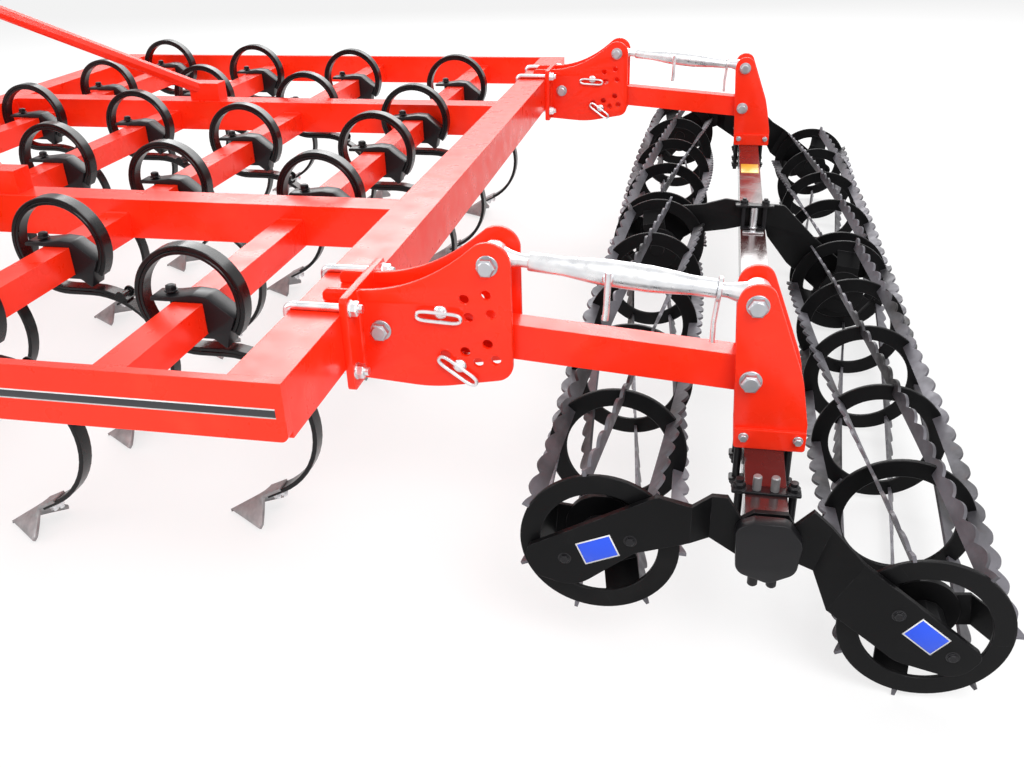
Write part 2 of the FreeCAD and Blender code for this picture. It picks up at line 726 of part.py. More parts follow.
def housing(axle, y_from, y_to):
    """A bearing housing round a roller's stub shaft."""
    hole = across_flats(size("stub_dia") / 2 + size("bolt_play"), RING_SIDES)
    body = prism_y(*axle, size("housing_dia") / 2, y_from, y_to, BUSH_SIDES)
    return body.cut(prism_y(*axle, hole, y_from - 1, y_to + 1, RING_SIDES, 180.0 / RING_SIDES))


def joggle(first, second, y_first, y_second, thick):
    """A sloping stretch of plate between an edge in one plane and an edge in another."""
    ends = []
    for (low, high), y in ((first, y_first), (second, y_second)):
        ends.append(Part.makePolygon([FreeCAD.Vector(low[0], y - thick / 2, low[1]),
                                      FreeCAD.Vector(high[0], y - thick / 2, high[1]),
                                      FreeCAD.Vector(high[0], y + thick / 2, high[1]),
                                      FreeCAD.Vector(low[0], y + thick / 2, low[1]),
                                      FreeCAD.Vector(low[0], y - thick / 2, low[1])]))
    return Part.makeLoft(ends, True, True)


def end_arms():
    """Bent plates from each end of the cross tube out to the rollers' bearings."""
    thick = size("carrier_plate")
    half = size("tube_size") / 2
    tube_centre = (TUBE_X, TUBE_Z)
    front_outer = around(FRONT_AXLE, [(-122, -18, 20), (-114, -5), (93, 113, 12), (148, 100), (148, 31),
                                      (59, -1, 40), (-38, -84, 60), (-106, -64, 30)])
    front_bend = around(tube_centre, [(-91, 86), (-91, 6)])
    front_inner = front_bend + around(tube_centre, [(-half, -30), (-half, half), (-66, 86)])
    rear_outer = around(REAR_AXLE, [(-159, 33), (-110, 128), (95, -30, 18), (62, -82, 40), (-39, -58, 60)])
    rear_bend = around(tube_centre, [(78, -40), (100, 44)])
    rear_inner = rear_bend + around(tube_centre, [(69, 73), (half, half), (half, -22)])
    cap = around(tube_centre, [(-46, 38), (-23, 56), (31, 56), (52, 20), (44, -34), (6, -56), (-40, -36)])
    middle = around(tube_centre, [(-half - 2, half), (half + 2, half), (half + 2, -half), (-half - 2, -half)])
    stop = END_PLATE_Y - thick / 2
    solids = [plate(cap, INNER_PLATE_Y - thick, thick), plate(front_inner, INNER_PLATE_Y, thick),
              plate(rear_inner, INNER_PLATE_Y, thick), plate(middle, INNER_PLATE_Y, thick),
              plate(front_outer, END_PLATE_Y, thick), plate(rear_outer, END_PLATE_Y, thick),
              joggle((front_bend[1], front_bend[0]), (front_outer[4], front_outer[3]), INNER_PLATE_Y, END_PLATE_Y, thick),
              joggle((rear_bend[0], rear_bend[1]), (rear_outer[0], rear_outer[1]), INNER_PLATE_Y, END_PLATE_Y, thick)]
    solids += [housing(axle, stop - size("housing_length"), stop) for axle in (FRONT_AXLE, REAR_AXLE)]
    shape = weld(solids)
    feature("end_arms", [shape, shape.mirror(FreeCAD.Vector(0, 0, 0), FreeCAD.Vector(0, 1, 0))])


def middle_arms():
    """Straight plates at the middle support, under the cross tube, with two bearings each."""
    thick = size("carrier_plate")
    half = size("tube_size") / 2
    y = size("middle_support")
    bottom = (TUBE_X, TUBE_Z - half)
    under = around(bottom, [(half, 0), (half, -60), (-67, -60), (-67, 0)])
    front = around(FRONT_AXLE, [(-60, 40, 30), (-30, 82, 40), (120, 82, 20)]) + around(bottom, [(-67, 0), (-67, -60)])
    front += around(FRONT_AXLE, [(90, -45, 30), (-50, -45, 30)])
    rear = around(bottom, [(half, 0), (72, 0)]) + around(REAR_AXLE, [(62, 15, 30), (55, -50, 30), (-40, -50, 40)])
    rear += around(bottom, [(half, -60)])
    shape = [plate(under, y, thick), plate(front, y, thick), plate(rear, y, thick)]
    for axle in (FRONT_AXLE, REAR_AXLE):
        shape.append(housing(axle, y + thick / 2, y + thick / 2 + size("housing_length")))
        shape.append(housing(axle, y - thick / 2 - size("housing_length"), y - thick / 2))
    feature("middle_arms", [weld(shape)])


def slat(angle, twist, tip, y_from, y_to, stations):
    """A flat bar on edge that winds round the roller, in flat stretches."""
    loops = []
    half = size("slat_thick") / 2
    root = tip - size("slat_tall")
    for index in range(stations + 1):
        turn = math.radians(angle + twist * index / stations)
        shift = FreeCAD.Vector(0, y_from + (y_to - y_from) * index / stations, 0)
        along = FreeCAD.Vector(math.cos(turn), 0, math.sin(turn))
        side = FreeCAD.Vector(-math.sin(turn), 0, math.cos(turn)) * half
        loops.append([shift + along * root - side, shift + along * tip - side,
                      shift + along * tip + side, shift + along * root + side])
    return skin(loops)


def cage(y_from, y_to, rings, twist, ring_outer, tip):
    """One roller section: rings, wound slats, end discs and stub shafts."""
    half = size("ring_thick") / 2
    hole = ring_outer - size("ring_wide")
    solids = []
    for index in range(rings):
        y = y_from + (y_to - y_from) * index / (rings - 1)
        ring = prism_y(0.0, 0.0, ring_outer, y - half, y + half, RING_SIDES)
        solids.append(ring.cut(prism_y(0.0, 0.0, hole, y - 2 * half, y + 2 * half, RING_SIDES)))
    for index in range(SLATS):
        solids.append(slat(360.0 * index / SLATS, twist, tip, y_from - half, y_to + half, rings - 1))
    disc = tip - size("slat_tall") + 4.0
    disc_half = size("disc_thick") / 2
    for start, inward in ((y_from, 1), (y_to, -1)):
        y = start + inward * size("disc_inset")
        phase = twist * (y - y_from) / (y_to - y_from)
        solids.append(prism_y(0.0, 0.0, disc, y - disc_half, y + disc_half, SLATS, phase))
        past = start - inward * size("stub_past")
        solids.append(prism_y(0.0, 0.0, size("stub_dia") / 2, min(y, past), max(y, past), RING_SIDES))
    return weld(solids)


def rollers():
    """Front and rear rollers, each in a left and a right section."""
    middle = size("middle_support")
    gap = size("middle_gap")
    left_length = ROLLER_END - middle - gap
    sections = (("left", middle + gap, ROLLER_END, LEFT_RINGS), ("right", -ROLLER_END, middle - gap, RIGHT_RINGS))
    pairs = (("front", FRONT_AXLE, FRONT_TWIST, size("front_ring_outer"), size("front_slat_outer")),
             ("rear", REAR_AXLE, REAR_TWIST, size("rear_ring_outer"), size("rear_slat_outer")))
    for name, axle, twist, ring_outer, tip in pairs:
        for side, y_from, y_to, rings in sections:
            shape = cage(y_from, y_to, rings, twist * (y_to - y_from) / left_length, ring_outer, tip)
            feature(f"roller_{name}_{side}", [shape.translated(FreeCAD.Vector(axle[0], 0, axle[1]))])


def bar_between(start, finish, radius):
    """An eight-sided bar between two places."""
    axis = finish - start
    side = axis.cross(FreeCAD.Vector(0, 0, 1)).normalize()
    up = side.cross(axis).normalize()
    turns = [math.radians(360.0 * index / HOLE_SIDES) for index in range(HOLE_SIDES)]
    ring = [start + side * radius * math.cos(turn) + up * radius * math.sin(turn) for turn in turns]
    return polygon(ring).extrude(axis)


def hitch():
    """Lower hitch plates, an A-shaped mast and two stays to the frame."""
    thick = size("hitch_plate")
    gap = size("lower_pin_gap")
    reach = size("hitch_plate_reach")
    pin_x = FRAME_FRONT + size("lower_pin_ahead")
    pin_z = TOP - size("lower_pin_drop")
    low = TOP - size("beam_tall")
    radius = size("lower_hole_dia") / 2
    corners = [(FRAME_FRONT, low), (FRAME_FRONT + 60.0, low - 20.0, 40.0), (FRAME_FRONT + reach, pin_z - 40.0, 38.0),
               (FRAME_FRONT + reach, pin_z + 40.0, 38.0), (FRAME_FRONT + 50.0, TOP, 30.0), (FRAME_FRONT, TOP)]
    plates = []
    for sign in (1, -1):
        centre = sign * size("lower_hitch_half")
        for hand in (-1, 1):
            y = centre + hand * (gap + thick) / 2
            plates.append(plate(corners, y, thick, bores=[(pin_x, pin_z, radius)]))
    feature("lower_hitch_plates", plates)

    head_z = pin_z + size("mast_height")
    leg = size("mast_leg")
    leg_x = FRAME_FRONT - size("beam_wide") / 2
    foot = size("lower_hitch_half") - 40.0
    half_gap = size("top_gap") / 2
    top = size("top_plate")
    legs = []
    for sign in (1, -1):
        inner = half_gap + top
        points = [(sign * foot, TOP), (sign * (foot + leg), TOP), (sign * (inner + leg * 0.95), head_z - 70.0),
                  (sign * (inner + leg * 0.55), head_z + 10.0), (sign * inner, head_z + 10.0), (sign * inner, head_z - 60.0)]
        face = polygon([FreeCAD.Vector(leg_x - leg / 2, y, z) for y, z in points])
        legs.append(face.extrude(FreeCAD.Vector(leg, 0, 0)))
    feature("mast_legs", legs)

    head = [(leg_x - leg / 2, head_z - 90.0, 10.0), (leg_x + leg / 2 + 40.0, head_z - 60.0, 20.0),
            (leg_x + leg / 2 + 90.0, head_z - 34.0, 30.0), (leg_x + leg / 2 + 90.0, head_z + 34.0, 32.0),
            (leg_x - leg / 2, head_z + 34.0, 12.0)]
    bores = [(leg_x + leg / 2 + 56.0, head_z, size("top_hole_dia") / 2)]
    tops = [plate(head, hand * (half_gap + top / 2), top, bores=bores) for hand in (-1, 1)]
    feature("mast_head", tops)

    stays = []
    foot_x = FRAME_FRONT - size("stay_back")
    foot_y = size("long_offset")
    for sign in (1, -1):
        start = FreeCAD.Vector(leg_x - leg / 2 - 40.0, sign * (half_gap + top + 20.0), head_z - 50.0)
        finish = FreeCAD.Vector(foot_x, sign * foot_y, TOP + 30.0)
        ear = Part.makeBox(60.0, 40.0, 70.0, FreeCAD.Vector(leg_x - leg / 2 - 60.0, start.y - 20.0, head_z - 85.0))
        shoe = Part.makeBox(110.0, 60.0, 60.0, FreeCAD.Vector(foot_x - 60.0, finish.y - 30.0, TOP))
        stays.append(weld([ear, bar_between(start, finish, size("stay_dia") / 2), shoe]))
    feature("mast_stays", stays)


beams()
longitudinals()
side_bars()
tine_bars()
tines()
brackets()
ubolts()
bolts()
arms()
turnbuckles()
cheeks()
cross_tube()
end_arms()
middle_arms()
rollers()
hitch()
doc.recompute()

faults = []
for obj in doc.Objects:
    if "Invalid" in obj.State or "Error" in obj.State:
        faults.append(f"{obj.Label}: {obj.State}")
for obj in NODES:
    if obj.Shape.isNull() or not obj.Shape.isValid():
        faults.append(f"{obj.Label}: shape")
if faults:
    raise RuntimeError("; ".join(faults))

os.makedirs("parts", exist_ok=True)
for obj in NODES:
    obj.Shape.exportStep(f"parts/{obj.Label}.step")
print(len(NODES), "pieces", "rear face", REAR_FACE, "A", JOINT_A, "B", JOINT_B, "C", JOINT_C, "D", JOINT_D,
      "front axle", FRONT_AXLE, "rear axle", REAR_AXLE, "tube", TUBE_X, TUBE_Z)
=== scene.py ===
import bmesh
import bpy
import json
import math
from mathutils import Matrix, Vector


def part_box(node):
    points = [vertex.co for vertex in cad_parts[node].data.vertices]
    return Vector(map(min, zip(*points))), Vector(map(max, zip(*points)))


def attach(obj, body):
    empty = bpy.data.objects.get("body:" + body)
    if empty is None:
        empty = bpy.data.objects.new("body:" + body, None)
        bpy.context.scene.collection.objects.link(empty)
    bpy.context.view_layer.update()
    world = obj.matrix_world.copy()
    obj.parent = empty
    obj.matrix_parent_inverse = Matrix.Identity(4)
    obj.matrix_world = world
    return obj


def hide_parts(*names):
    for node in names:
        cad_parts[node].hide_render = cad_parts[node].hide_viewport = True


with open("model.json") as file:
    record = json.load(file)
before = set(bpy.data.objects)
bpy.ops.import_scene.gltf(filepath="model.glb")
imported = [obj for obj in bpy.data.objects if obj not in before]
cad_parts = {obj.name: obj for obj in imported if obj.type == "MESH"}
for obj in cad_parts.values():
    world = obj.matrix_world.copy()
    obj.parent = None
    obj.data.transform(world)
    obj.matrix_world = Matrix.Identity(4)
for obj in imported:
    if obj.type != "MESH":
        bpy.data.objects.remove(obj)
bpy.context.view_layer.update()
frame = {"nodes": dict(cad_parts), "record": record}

# Lengths below are in millimetres, as on the machine; meshes are written in metres.
MM = 0.001
JOINTS = {joint["name"]: joint for joint in frame["record"]["behaviour"]["joints"]}


def box_mm(node):
    """A node's lowest and highest corners, in millimetres."""
    low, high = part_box(node)
    return Vector(low) / MM, Vector(high) / MM


def pivot(name):
    """The place of a joint as (x, y, z) in millimetres."""
    return Vector(JOINTS[name]["pos_m"]) / MM


A = pivot("arm_left_swing")
B = pivot("link_left_swing")
D = pivot("carrier_swing")
CHEEK_RISE = 144.0
C = D + Vector((0, 0, CHEEK_RISE))
AXLES = {"front": pivot("roller_front_left_spin"), "rear": pivot("roller_rear_left_spin")}
BRACKET_Y = A.y
REAR_FACE = box_mm("rear_beam")[0].x
TOP = box_mm("rear_beam")[1].z
BEAM = 100.0
BEAM_TALL = 110.0
SIDES = (BRACKET_Y, -BRACKET_Y)
# Finishes: metres, and colours as linear shares
PAINT_EDGE = 0.0016
METAL_EDGE = 0.0006


class Finish:
    """A small node graph that ends in one Principled shader."""

    def __init__(self, name, rough, metal=0.0, coat=0.0, coat_rough=0.1, specular=0.5):
        self.material = bpy.data.materials.new(name)
        self.material.use_nodes = True
        self.tree = self.material.node_tree
        self.shader = self.tree.nodes["Principled BSDF"]
        self.shader.inputs["Metallic"].default_value = metal
        self.shader.inputs["Roughness"].default_value = rough
        self.shader.inputs["Coat Weight"].default_value = coat
        self.shader.inputs["Coat Roughness"].default_value = coat_rough
        self.shader.inputs["Specular IOR Level"].default_value = specular
        self.place = self.node("ShaderNodeTexCoord").outputs["Object"]

    def node(self, kind, **settings):
        made = self.tree.nodes.new(kind)
        for key, value in settings.items():
            setattr(made, key, value)
        return made

    def link(self, out, into):
        self.tree.links.new(out, into)

    def noise(self, scale, detail=4.0, stretch=None):
        made = self.node("ShaderNodeTexNoise")
        made.inputs["Scale"].default_value = scale
        made.inputs["Detail"].default_value = detail
        source = self.place
        if stretch:
            mapping = self.node("ShaderNodeMapping")
            mapping.inputs["Scale"].default_value = stretch
            self.link(source, mapping.inputs["Vector"])
            source = mapping.outputs["Vector"]
        self.link(source, made.inputs["Vector"])
        return made.outputs["Fac"]

    def span(self, source, low, high, to_low=0.0, to_high=1.0):
        made = self.node("ShaderNodeMapRange")
        for key, value in (("From Min", low), ("From Max", high), ("To Min", to_low), ("To Max", to_high)):
            made.inputs[key].default_value = value
        self.link(source, made.inputs["Value"])
        return made.outputs["Result"]

    def blend(self, factor, first, second):
        made = self.node("ShaderNodeMix", data_type="RGBA")
        self.link(factor, made.inputs["Factor"])
        for key, value in ((6, first), (7, second)):
            if isinstance(value, tuple):
                made.inputs[key].default_value = (*value, 1.0)
            else:
                self.link(value, made.inputs[key])
        return made.outputs[2]

    def eased(self, radius):
        """A normal that rounds the edges."""
        bevel = self.node("ShaderNodeBevel", samples=4)
        bevel.inputs["Radius"].default_value = radius
        return bevel.outputs["Normal"]

    def edge_mask(self, normal):
        """1 along the edges, where an eased normal leaves the face's own, and 0 elsewhere."""
        flat = self.node("ShaderNodeNewGeometry")
        dot = self.node("ShaderNodeVectorMath", operation="DOT_PRODUCT")
        self.link(normal, dot.inputs[0])
        self.link(flat.outputs["Normal"], dot.inputs[1])
        return self.span(dot.outputs["Value"], 0.995, 0.8)

    def bump(self, height, strength, distance, normal=None):
        made = self.node("ShaderNodeBump")
        made.inputs["Strength"].default_value = strength
        made.inputs["Distance"].default_value = distance
        self.link(height, made.inputs["Height"])
        if normal is not None:
            self.link(normal, made.inputs["Normal"])
        self.link(made.outputs["Normal"], self.shader.inputs["Normal"])

    def colour(self, source):
        self.link(source, self.shader.inputs["Base Color"])

    def roughness(self, source):
        self.link(source, self.shader.inputs["Roughness"])


def enamel(name, base, deep, edge_wear_and_highlight, rough, coat, dust=None, specular=0.5):
    """Painted steel: slow shade changes, orange-peel bump, tinted edges that are partly rubbed wear and partly
    a painted highlight, and a little dust.
    """
    made = Finish(name, rough, coat=coat, coat_rough=0.12, specular=specular)
    slow = made.span(made.noise(2.3, 3.0), 0.35, 0.7)
    colour = made.blend(slow, base, deep)
    normal = made.eased(PAINT_EDGE)
    # Edge tint: partly rubbed wear and partly a painted highlight, lighter along the edges for most finishes.
    wear_and_highlight_mask = made.node("ShaderNodeMath", operation="MULTIPLY")
    made.link(made.edge_mask(normal), wear_and_highlight_mask.inputs[0])
    made.link(made.span(made.noise(34.0), 0.42, 0.66, 0.0, 0.55), wear_and_highlight_mask.inputs[1])
    colour = made.blend(wear_and_highlight_mask.outputs["Value"], colour, edge_wear_and_highlight)
    if dust:
        colour = made.blend(made.span(made.noise(11.0, 6.0), 0.55, 0.85, 0.0, 0.35), colour, dust)
    made.colour(colour)
    made.roughness(made.span(made.noise(17.0, 5.0), 0.3, 0.75, rough - 0.07, rough + 0.12))
    made.bump(made.noise(260.0, 2.0), 0.06, 0.0004, normal)
    return made.material


def plated(name, base, stain, rough, scale, metal=1.0):
    """Zinc plate or bare steel: mottled grey with fine scratches."""
    made = Finish(name, rough, metal=metal)
    colour = made.blend(made.span(made.noise(scale, 6.0), 0.35, 0.7), base, stain)
    made.colour(colour)
    made.roughness(made.span(made.noise(scale * 2.5, 4.0), 0.3, 0.7, rough - 0.08, rough + 0.15))
    made.bump(made.noise(420.0, 3.0, (1.0, 1.0, 4.0)), 0.12, 0.0003, made.eased(METAL_EDGE))
    return made.material


def worn_steel(name, paint, bare, rough):
    """Black paint rubbed grey by the soil in patches, with a little rust."""
    made = Finish(name, rough, metal=0.35)
    mask = made.span(made.noise(7.0, 8.0, (1.0, 0.5, 1.0)), 0.34, 0.58)
    colour = made.blend(mask, paint, bare)
    rust = made.span(made.noise(23.0, 6.0), 0.62, 0.78, 0.0, 0.4)
    made.colour(made.blend(rust, colour, (0.12, 0.062, 0.05)))
    made.roughness(made.span(made.noise(40.0), 0.3, 0.7, rough - 0.1, rough + 0.15))
    made.bump(made.noise(130.0, 5.0), 0.25, 0.0008)
    return made.material


# Each enamel's edge colour is partly rubbed wear and partly a painted edge highlight.
MATERIALS = {
    "red_paint": enamel("red_enamel", base=(0.98, 0.029, 0.0060), deep=(0.94, 0.024, 0.0050),
                        edge_wear_and_highlight=(0.98, 0.24, 0.16), rough=0.30, coat=0.16, dust=(0.95, 0.070, 0.025),
                        specular=0.20),
    "black_paint": enamel("black_enamel", base=(0.0030, 0.0030, 0.0034), deep=(0.006, 0.006, 0.0065),
                          edge_wear_and_highlight=(0.15, 0.14, 0.15), rough=0.42, coat=0.03, dust=(0.016, 0.015, 0.015),
                          specular=0.10),
    "spring_steel": enamel("spring_enamel", base=(0.003, 0.003, 0.0036), deep=(0.006, 0.006, 0.007),
                           edge_wear_and_highlight=(0.10, 0.10, 0.11), rough=0.28, coat=0.16, specular=0.18),
    "black_casting": enamel("casting_enamel", base=(0.005, 0.005, 0.006), deep=(0.013, 0.012, 0.014),
                            edge_wear_and_highlight=(0.16, 0.16, 0.17), rough=0.36, coat=0.06, specular=0.20),
    "share_steel": plated("forged_share", base=(0.36, 0.35, 0.355), stain=(0.25, 0.245, 0.25), rough=0.50,
                          scale=38.0, metal=0.75),
    "zinc": plated("zinc_plate", base=(0.84, 0.84, 0.85), stain=(0.68, 0.69, 0.72), rough=0.30, scale=26.0),
}
BOLT_FINISH = plated("bolt_plate", base=(0.58, 0.59, 0.62), stain=(0.44, 0.45, 0.48), rough=0.36, scale=26.0)
SLAT_FINISH = worn_steel("slat_wear", paint=(0.010, 0.0095, 0.010), bare=(0.15, 0.145, 0.165), rough=0.48)
TUBE_FINISH = enamel("tube_enamel", base=(0.018, 0.014, 0.015), deep=(0.075, 0.014, 0.013),
                     edge_wear_and_highlight=(0.20, 0.19, 0.20), rough=0.22, coat=0.5)
STRIPE_BLACK = enamel("stripe_black", base=(0.012, 0.013, 0.018), deep=(0.020, 0.020, 0.026),
                      edge_wear_and_highlight=(0.05, 0.05, 0.05), rough=0.30, coat=0.4)
STRIPE_WHITE = enamel("stripe_white", base=(0.83, 0.82, 0.82), deep=(0.76, 0.75, 0.76),
                      edge_wear_and_highlight=(0.6, 0.6, 0.6), rough=0.32, coat=0.4)
PLATE_BLUE = enamel("plate_blue", base=(0.016, 0.075, 0.72), deep=(0.022, 0.085, 0.66),
                    edge_wear_and_highlight=(0.2, 0.3, 0.8), rough=0.35, coat=0.1, specular=0.25)
PLATE_YELLOW = enamel("plate_yellow", base=(0.85, 0.50, 0.02), deep=(0.78, 0.44, 0.02),
                      edge_wear_and_highlight=(0.7, 0.5, 0.2), rough=0.35, coat=0.3)

for name, item in frame["nodes"].items():
    slot = next(part["material_slot"] for part in frame["record"]["subparts"] if part["node"] == name)
    item.data.materials.clear()
    item.data.materials.append(TUBE_FINISH if name == "cross_tube" else MATERIALS[slot])

# Shapes: each builder returns (points, faces) in millimetres


def moved(shape, x=0.0, y=0.0, z=0.0):
    points, faces = shape
    return [point + Vector((x, y, z)) for point in points], faces


def turned(shape, axis, degrees):
    spin = Matrix.Rotation(math.radians(degrees), 3, axis)
    return [spin @ point for point in shape[0]], shape[1]


def stood(shape, x, y, z, up=1):
    """A shape built along Y, set on end at a place: its +Y points up, or down where up is -1."""
    return moved(turned(shape, "X", 90.0 * up), x, y, z)

def joined(shapes):
    points = []
    faces = []
    for more, sides in shapes:
        base = len(points)
        points += more
        faces += [tuple(base + index for index in face) for face in sides]
    return points, faces


def loft(loops, closed=False, caps=True):
    """Loops of equal length, skinned one after another."""
    count = len(loops[0])
    points = [point for loop in loops for point in loop]
    faces = []
    spans = len(loops) if closed else len(loops) - 1
    for index in range(spans):
        here = index * count
        there = (index + 1) % len(loops) * count
        for corner in range(count):
            other = (corner + 1) % count
            faces.append((here + corner, here + other, there + other, there + corner))
    if caps and not closed:
        faces.append(tuple(range(count))[::-1])
        faces.append(tuple(len(points) - count + index for index in range(count)))
    return points, faces


def lathe(profile, sides=32, phase=0.0, caps=True):
    """A turned shape about Y. The profile is (y, radius)."""
    loops = []
    for y, radius in profile:
        turns = [math.radians(phase + 360.0 * side / sides) for side in range(sides)]
        loops.append([Vector((radius * math.cos(turn), y, radius * math.sin(turn))) for turn in turns])
    return loft(loops, caps=caps)


def ring(inner, outer, thick, edge=1.2, sides=72):
    """A flat ring about Y with small chamfers."""
    half = thick / 2
    section = ((inner, half - edge), (inner + edge, half), (outer - edge, half), (outer, half - edge),
               (outer, edge - half), (outer - edge, -half), (inner + edge, -half), (inner, edge - half))
    loops = []
    for side in range(sides):
        turn = math.radians(360.0 * side / sides)
        loops.append([Vector((radius * math.cos(turn), y, radius * math.sin(turn))) for radius, y in section])
    return loft(loops, closed=True)


def hexagon(radius, tall):
    """A six-sided head or nut that stands on y = 0, with its corners turned off."""
    body = lathe([(0.0, radius), (0.82 * tall, radius), (tall, 0.86 * radius)], 6)
    crown = lathe([(tall - 0.1, 0.80 * radius), (tall + 0.06 * radius, 0.70 * radius)], 24)
    return joined([body, crown])


def bolt_end(radius, washer=1.13, tall=0.85, thread=0.0):
    """A washer and a head or nut, with the thread's end past it if there is one."""
    parts = [lathe([(0.0, radius * washer), (2.4, radius * washer), (3.0, radius * washer - 0.8)], 36),
             moved(hexagon(radius, tall * radius), y=3.0)]
    if thread:
        reach = 3.0 + tall * radius + thread
        parts.append(lathe([(3.0, radius * 0.55), (reach - 1.5, radius * 0.55), (reach, radius * 0.45)], 20))
    return joined(parts)


def pipe(path, radius, sides=12, closed=False):
    """A round bar along a path of points."""
    count = len(path)
    loops = []
    up = None
    for index, point in enumerate(path):
        before = path[index - 1] if closed or index else path[index]
        after = path[(index + 1) % count] if closed or index < count - 1 else path[index]
        along = (after - before).normalized()
        if up is None:
            up = along.orthogonal().normalized()
        up = (up - along * up.dot(along)).normalized()
        side = along.cross(up)
        turns = [math.tau * step / sides for step in range(sides)]
        loops.append([point + (up * math.cos(turn) + side * math.sin(turn)) * radius for turn in turns])
    return loft(loops, closed=closed)


def rounded(corners, steps=8):
    """Corners (x, z[, radius]) as a closed line with round corners."""
    line = []
    for index, corner in enumerate(corners):
        here = Vector(corner[:2])
        radius = corner[2] if len(corner) > 2 else 0.0
        before = (Vector(corners[index - 1][:2]) - here).normalized()
        after = (Vector(corners[(index + 1) % len(corners)][:2]) - here).normalized()
        if not radius:
            line.append(here)
            continue
        half = before.angle(after) / 2
        along = radius / math.tan(half)
        centre = here + (before + after).normalized() * (radius / math.sin(half))
        start = here + before * along - centre
        total = start.angle_signed(here + after * along - centre)
        for step in range(steps + 1):
            turn = -total * step / steps
            spun = Vector((start.x * math.cos(turn) - start.y * math.sin(turn),
                           start.x * math.sin(turn) + start.y * math.cos(turn)))
            line.append(centre + spun)
    return line


def plate(corners, y, thick, holes=(), edge=1.2):
    """A flat plate in an X-Z plane with round holes (x, z, radius) and eased edges."""
    curve = bpy.data.curves.new("plate", "CURVE")
    curve.dimensions = "2D"
    curve.fill_mode = "BOTH"
    lines = [rounded(corners)]
    for x, z, radius in holes:
        turns = [math.tau * step / 28 for step in range(28)]
        lines.append([Vector((x + radius * math.cos(turn), z + radius * math.sin(turn))) for turn in turns])
    for line in lines:
        spline = curve.splines.new("POLY")
        spline.points.add(len(line) - 1)
        for target, point in zip(spline.points, line):
            target.co = (point.x, point.y, 0.0, 1.0)
        spline.use_cyclic_u = True
    curve.extrude = thick / 2 - edge
    curve.bevel_depth = edge
    curve.bevel_resolution = 1
    curve.offset = -edge
    holder = bpy.data.objects.new("plate", curve)
    mesh = bpy.data.meshes.new_from_object(holder)
    points = [Vector((point.co.x, y - point.co.z, point.co.y)) for point in mesh.vertices]
    faces = [tuple(face.vertices) for face in mesh.polygons]
    bpy.data.objects.remove(holder)
    bpy.data.curves.remove(curve)
    bpy.data.meshes.remove(mesh)
    return points, faces


def make(name, shape, material, body, replaces=(), angle=32.0):
    """One piece of the scene from a shape, riding on a body."""
    mesh = bpy.data.meshes.new(name)
    mesh.from_pydata([point * MM for point in shape[0]], [], shape[1])
    work = bmesh.new()
    work.from_mesh(mesh)
    bmesh.ops.remove_doubles(work, verts=work.verts, dist=1e-6)
    bmesh.ops.recalc_face_normals(work, faces=work.faces)
    work.to_mesh(mesh)
    work.free()
    mesh.shade_smooth()
    mesh.set_sharp_from_angle(angle=math.radians(angle))
    mesh.materials.append(material)
    piece = bpy.data.objects.new(name, mesh)
    bpy.context.scene.collection.objects.link(piece)
    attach(piece, body)
    if replaces:
        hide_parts(*replaces)
    return piece


# Tines. The spring's loop starts LOOP_START degrees below its front, runs over the bar and round to the
# bar's underside, and goes on as an arc of ARC_SWEEP degrees down to the share.

LOOP_RADIUS = 112.0
LOOP_RISE = 31.0
LOOP_START = 35.0
LOOP_TURN = 270.0 + LOOP_START
RUN = 56.0
ARC_RADIUS = 170.0
ARC_SWEEP = 153.0
TAIL = 40.0
LEAF_WIDE = 35.0
LEAF_THICK = 10.0
HELPER_THICK = 8.0
HELPER_SWEEP = 30.0
CLIP_SWEEP = 26.0
BAR = 65.0
ROWS = (1, 2, 3, 4)
ARC_CENTRE = Vector((RUN, LOOP_RISE - LOOP_RADIUS - ARC_RADIUS))
ARC_END = math.radians(90.0 - ARC_SWEEP)
END_OUT = Vector((math.cos(ARC_END), math.sin(ARC_END)))
HEADING = Vector((math.cos(math.radians(-ARC_SWEEP)), math.sin(math.radians(-ARC_SWEEP))))


def leaf_line(offset, sweep, tail):
    """The middle line of a leaf as (place, outward) pairs; places are (behind, above) the bar."""
    line = []
    for step in range(49):
        turn = math.radians(-LOOP_START + LOOP_TURN * step / 48)
        out = Vector((math.cos(turn), math.sin(turn)))
        line.append((Vector((0, LOOP_RISE)) + out * (LOOP_RADIUS - offset), out))
    count = max(3, round(sweep / 7))
    for step in range(count + 1):
        turn = math.radians(90.0 - sweep * step / count)
        up = Vector((math.cos(turn), math.sin(turn)))
        line.append((ARC_CENTRE + up * (ARC_RADIUS + offset), -up))
    if tail:
        last, out = line[-1]
        line.append((last + HEADING * tail, out))
    return line


def leaf(offset, thick, sweep, tail=0.0, edge=1.6):
    """A flat spring leaf with eased edges."""
    half = LEAF_WIDE / 2
    flat = thick / 2
    section = ((-half + edge, flat), (half - edge, flat), (half, flat - edge), (half, edge - flat),
               (half - edge, -flat), (-half + edge, -flat), (-half, edge - flat), (-half, flat - edge))
    loops = []
    for place, out in leaf_line(offset, sweep, tail):
        loops.append([Vector((-(place.x + out.x * depth), y, place.y + out.y * depth))
                      for y, depth in section])
    return loft(loops)


def clip():
    """The folded clip that ties both leaves behind the loop."""
    place = leaf_line(LEAF_THICK / 2, CLIP_SWEEP, 0.0)[-1][0]
    body = lathe([(-21.0, 5.0), (-20.0, 6.5), (20.0, 6.5), (21.0, 5.0)], 20)
    ears = [moved(lathe([(-2.0, 12.5), (2.0, 12.5)], 24), y=side * 19.8) for side in (-1, 1)]
    return moved(joined([body] + ears), -place.x, 0.0, place.y + 9.5)


